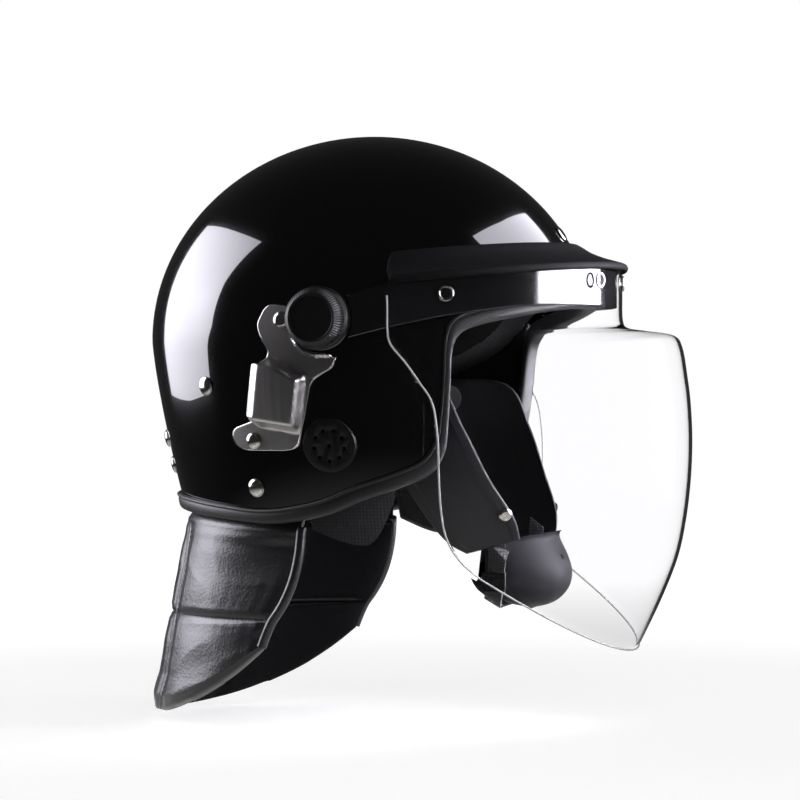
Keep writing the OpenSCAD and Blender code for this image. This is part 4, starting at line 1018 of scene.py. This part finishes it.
mesh = filled(surface(frame_place, 140, len(frame_section) - 1))
sharp = [e for e in mesh.edges if e.is_manifold and e.calc_face_angle(0) > 0.9]
bmesh.ops.bevel(mesh, geom=sharp, offset=0.0006, affect="EDGES", segments=3, profile=0.5, material=-1)
keep(mesh, "visor_band", frame_plastic, "visor", ["visor_frame"])
hub_radius, bevel = 18, 0.6
hub_profile = [(0, 0), (hub_radius - bevel, 0), (hub_radius, bevel), (hub_radius, frame_wall - bevel),
               (hub_radius - bevel, frame_wall), (0, frame_wall)]
for side, hand in sides:
    keep(turned(hub_profile, (pivot_x, side * hub_in, pivot_z), (0, side, 0)), "visor_hub_" + hand,
         frame_plastic, "visor")

# Brow seal
# A soft rubber gutter clipped along the visor's top edge, which wipes the shell and keeps liquids out.
seal_height = 54.5
seal_half_thick = 1.1
bloom_width = 16.7
# Soft rubber: a matt black with a faint, cloudy bloom
seal_rubber, tree, at = finish("matt_black_rubber", "seal_rubber", Base_Color=ink("#161617"), Roughness=0.6,
                               Specular_IOR_Level=0.1)
bloom = node(tree, "ShaderNodeTexNoise", {
    "Vector": at, "Scale": 1000 / bloom_width, "Detail": 8, "Roughness": 0.7}).outputs["Fac"]
node(tree, "ShaderNodeMix", {0: bloom, 6: ink("#08080a"), 7: ink("#0e0e10")}, "Base Color", data_type="RGBA")
node(tree, "ShaderNodeMapRange", {"Value": bloom, "To Min": 0.5, "To Max": 0.7}, "Roughness")
node(tree, "ShaderNodeBump", {"Height": bloom, "Strength": 0.1, "Distance": 0.0003}, "Normal")
# The gutter's section from the lens to the shell: shares of the way across and up, and a bulge outward
flare = smooth([(0, -0.2, 2), (0, 0.02, 1.9), (0.1, 0.14, 0), (0.4, 0.32, 0), (0.72, 0.6, 0), (1, 1, 0)], 5)
seal_full = math.degrees(math.acos((visor_edge_x + 1) / lens_half_length))


def brow_fall(azimuth):
    """How far the visor's top edge has come down from the brow at an azimuth."""
    rear = (visor_edge_x - 1) / lens_half_length
    return (band_top - 30) * (1 - math.cos(math.radians(azimuth))) / (1 - rear)


def seal_mid(u, v):
    """The middle of the gutter's sheet, from the lens at v = 0 to the shell at 1."""
    side = 2 * u - 1
    share, rise, by = pair(flare, v * (1 - 0.4 * max(0, (abs(side) - 0.965) / 0.035) ** 2.2))
    azimuth = seal_full * side
    a = math.radians(azimuth)
    outer = Vector((lens_half_length * math.cos(a), (hub_in + 6.3) * math.sin(a), 42.9 - brow_fall(azimuth)))
    inner = skin(azimuth * 0.995, seal_height - 8 * side ** 2, 3)
    way = outer.lerp(inner, share) + by * Vector((outer.x, outer.y, 0)).normalized()
    return Vector((way.x, way.y, between(outer.z, inner.z, rise)))


def seal_place(u, v):
    """The gutter's upper face and, for v past a half, its lower one."""
    upper, t = there_and_back(v)
    step = 0.004
    east = seal_mid(min(1, u + step), t) - seal_mid(max(0, u - step), t)
    rise = seal_mid(u, min(1, t + step)) - seal_mid(u, max(0, t - step))
    out = east.cross(rise).normalized()
    thick = seal_half_thick * min(1, 0.3 + 6 * min(t, 1 - t)) ** 0.7
    return seal_mid(u, t) + (thick if upper else -thick) * out


keep(surface(seal_place, 150, 2 * 40, "uv"), "brow_gutter", seal_rubber, "visor", ["brow_seal"], 50)

# Pivots
# A black spacer, a steel bolt and washer, and a ribbed hand knob that clamps the visor where it is lifted.
washer = 1
knob_in = hub_in + frame_wall + seat + washer + seat
knob_profile = [(0, 11), (3.2, 11), (3.2, 0), (17.0, 0), (18.0, 0.5), (18.1, 3.6), (17.8, 4.3), (17.2, 4.6),
                (17.1, 5.2), (17.0, 8.0), (16.8, 10.8), (16.0, 12.2), (14.9, 13.6), (14.1, 14.6),
                (13.6, 14.95), (13.0, 15.0), (12.6, 14.8), (12.4, 14.5), (0, 14.4)]
for _, hand in sides:
    keep(refined("pivot_base_" + hand, 0.0004), "pivot_spacer_" + hand, black_plastic, "helmet",
         ["pivot_base_" + hand])
for side, hand in sides:
    knob = turned(knob_profile, (pivot_x, side * knob_in, pivot_z), (0, side, 0), ribs=72, depth=0.28,
                  ribbed=(8, 13))
    keep(knob, "clamp_knob_" + hand, black_plastic, "knob_" + hand, ["knob_" + hand], 45)

# Chin harness
# Leather cheek pieces hung on pins by the ears, snapped to a moulded chin cup with a strap under the jaw.
anchor_x, anchor_z = 25, -35
cheek_face = 81.5
cheek_leather = 2.4
cup_x, cup_z = 86, -127
cup_half_width = 43
cup_wall = 2.6
cup_lip = 2.6
pore_width, wear_width = 1.786, 14.3
# Grained leather: a dry black with small pores, rubbed lighter in patches
strap_leather, tree, at = finish("grained_leather", "strap_leather", Base_Color=ink("#0d0d0f"), Roughness=0.5,
                                 Specular_IOR_Level=0.3)
pores = node(tree, "ShaderNodeTexVoronoi", {"Vector": at, "Scale": 1000 / pore_width}).outputs["Distance"]
node(tree, "ShaderNodeBump", {"Height": pores, "Strength": 0.12, "Distance": 0.0003}, "Normal")
worn = node(tree, "ShaderNodeTexNoise", {
    "Vector": at, "Scale": 1000 / wear_width, "Detail": 6}).outputs["Fac"]
node(tree, "ShaderNodeMix", {0: worn, 6: ink("#09090b"), 7: ink("#161618")}, "Base Color", data_type="RGBA")
node(tree, "ShaderNodeMapRange", {"Value": worn, "To Min": 0.42, "To Max": 0.58}, "Roughness")
cheek_rear = smooth([(12, -37), (28, -60), (43, -85), (56, -108), (64, -119), (73, -125)], 6)
cheek_front = smooth([(19, -23), (62, -26), (78, -52), (90, -80), (101, -103), (103, -117)], 6)


def cheek_y(x, z):
    """How far to the side the cheek pieces' outer face lies: it curves in from the anchor to the cup."""
    far = math.hypot(x - anchor_x, z - anchor_z)
    return cheek_face - 26.4 * (max(0, far - 24) / 74) ** 1.9


for side, hand in sides:
    def cheek_place(u, v, side=side):
        outer, t = there_and_back(v)
        x, z = (between(rear, front, u) for rear, front in zip(pair(cheek_rear, t), pair(cheek_front, t)))
        turned_in = sum(0.8 * max(0, 1 - min(w, 1 - w) / 0.02) ** 2 for w in (u, t))
        bound = -0.55 * ease(min(u, 1 - u), 0.11, 0.135)
        out = bound - turned_in if outer else turned_in - cheek_leather
        return Vector((x, side * (cheek_y(x, z) + out), z))

    keep(surface(cheek_place, 90, 2 * 60, "uv"), "cheek_leather_" + hand, strap_leather, "chin_harness",
         ["cheek_piece_" + hand], 50)
keep(refined("cheek_snaps", 0.0002), "cheek_press_studs", rivet_steel, "chin_harness", ["cheek_snaps"])

cup_scuff_width = 7.69
# Moulded plastic: a dark grey, matt from its mould and scuffed
cup_plastic, tree, at = finish("grey_moulded_plastic", "cup_plastic", Base_Color=ink("#1a1a1d"),
                               Roughness=0.5, Specular_IOR_Level=0.08)
scuffs = node(tree, "ShaderNodeTexNoise", {
    "Vector": at, "Scale": 1000 / cup_scuff_width, "Detail": 8, "Roughness": 0.7}).outputs["Fac"]
node(tree, "ShaderNodeMix", {0: scuffs, 6: ink("#151518"), 7: ink("#202023")}, "Base Color", data_type="RGBA")
node(tree, "ShaderNodeMapRange", {"Value": scuffs, "To Min": 0.44, "To Max": 0.56}, "Roughness")
node(tree, "ShaderNodeBump", {"Height": scuffs, "Strength": 0.05, "Distance": 0.0003}, "Normal")
# The cup's section at its middle, as reach forward and rise
cup_profile = smooth([
    (27, 14), (29, 8), (33, 0), (36, -10), (34, -20), (26, -28), (14, -31), (2, -28), (-6, -22)], 6)


def cup_face(side, t):
    """The cup's outer face without its lip: side runs -1 to 1 across it, t from 0 at the lip to 1 below."""
    w = math.radians(78 * side)
    reach, rise = pair(cup_profile, t)
    return Vector((cup_x + reach * math.cos(w) - 12 * side * side, cup_half_width * math.sin(w),
                   cup_z + rise * (1 - 0.45 * side * side)))


def cup_place(u, v):
    """The cup's outer face with its flared lip and, for v past a half, its inner face."""
    outer, t = there_and_back(v)
    side = 2 * u - 1
    w = math.radians(78 * side)
    p = cup_face(side, t)
    lip = Vector((math.cos(w), math.sin(w), 0)) * cup_lip * math.cos(w) * max(0, 1 - t / 0.1) ** 2
    if outer:
        return p + lip
    down = cup_face(side, min(1, t + 0.01)) - cup_face(side, max(0, t - 0.01))
    sideways = Vector((-33 * math.sin(w), cup_half_width * math.cos(w), 0))
    out = sideways.cross(down).normalized()
    if out.x * math.cos(w) + out.y * math.sin(w) - 0.6 * t * out.z < 0:
        out = -out
    return p - cup_wall * out + 0.6 * lip


cup = keep(filled(surface(cup_place, 80, 2 * 48)), "moulded_chin_cup", cup_plastic, "chin_harness",
           ["chin_cup"], 50)
# Two vent holes are drilled through the cup's front
vent_radius, vent_spacing = 0.0015, 0.014
vent_x, vent_z = 0.116, -0.128
drill = bmesh.new()
for y in (-vent_spacing / 2, vent_spacing / 2):
    lying = Matrix.Translation((vent_x, y, vent_z)) @ Matrix.Rotation(math.pi / 2, 4, "Y")
    bmesh.ops.create_cone(drill, cap_ends=True, segments=24, radius1=vent_radius, radius2=vent_radius,
                          depth=0.06, matrix=lying)
bit = bpy.data.objects.new("drill", bpy.data.meshes.new("drill"))
drill.to_mesh(bit.data)
bpy.context.collection.objects.link(bit)
cut = cup.modifiers.new("vent_holes", "BOOLEAN")
cut.object = bit
drilled = bpy.data.meshes.new_from_object(cup.evaluated_get(bpy.context.evaluated_depsgraph_get()))
cup.modifiers.clear()
cup.data = drilled
bpy.data.objects.remove(bit)

webbing_rib = 1.653
# Woven nylon: a dull black, with painted light on its ribs and painted shade in the grooves between them
webbing, tree, at = finish("nylon_webbing", "webbing", Base_Color=ink("#121213"), Roughness=0.75,
                           Sheen_Weight=0.2)
woven_shade = weave(tree, at, webbing_rib, 0.0004)
# Painted light and shade: the weave's raised ribs lighter, its grooves darker
node(tree, "ShaderNodeMix", {0: woven_shade, 6: ink("#0c0c0d"), 7: ink("#1d1d20")}, "Base Color", data_type="RGBA")
keep(refined("jaw_strap", 0.0002), "under_jaw_strap", webbing, "chin_harness", ["jaw_strap"])
keep(refined("jaw_buckle", 0.0003), "jaw_strap_buckle", black_plastic, "chin_harness", ["jaw_buckle"])

# What is left of the frame
# Bolts, washers and anchors have the real shapes already and take their steel.
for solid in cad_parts.values():
    if not solid.hide_render:
        solid.data.materials.clear()
        solid.data.materials.append(steel)
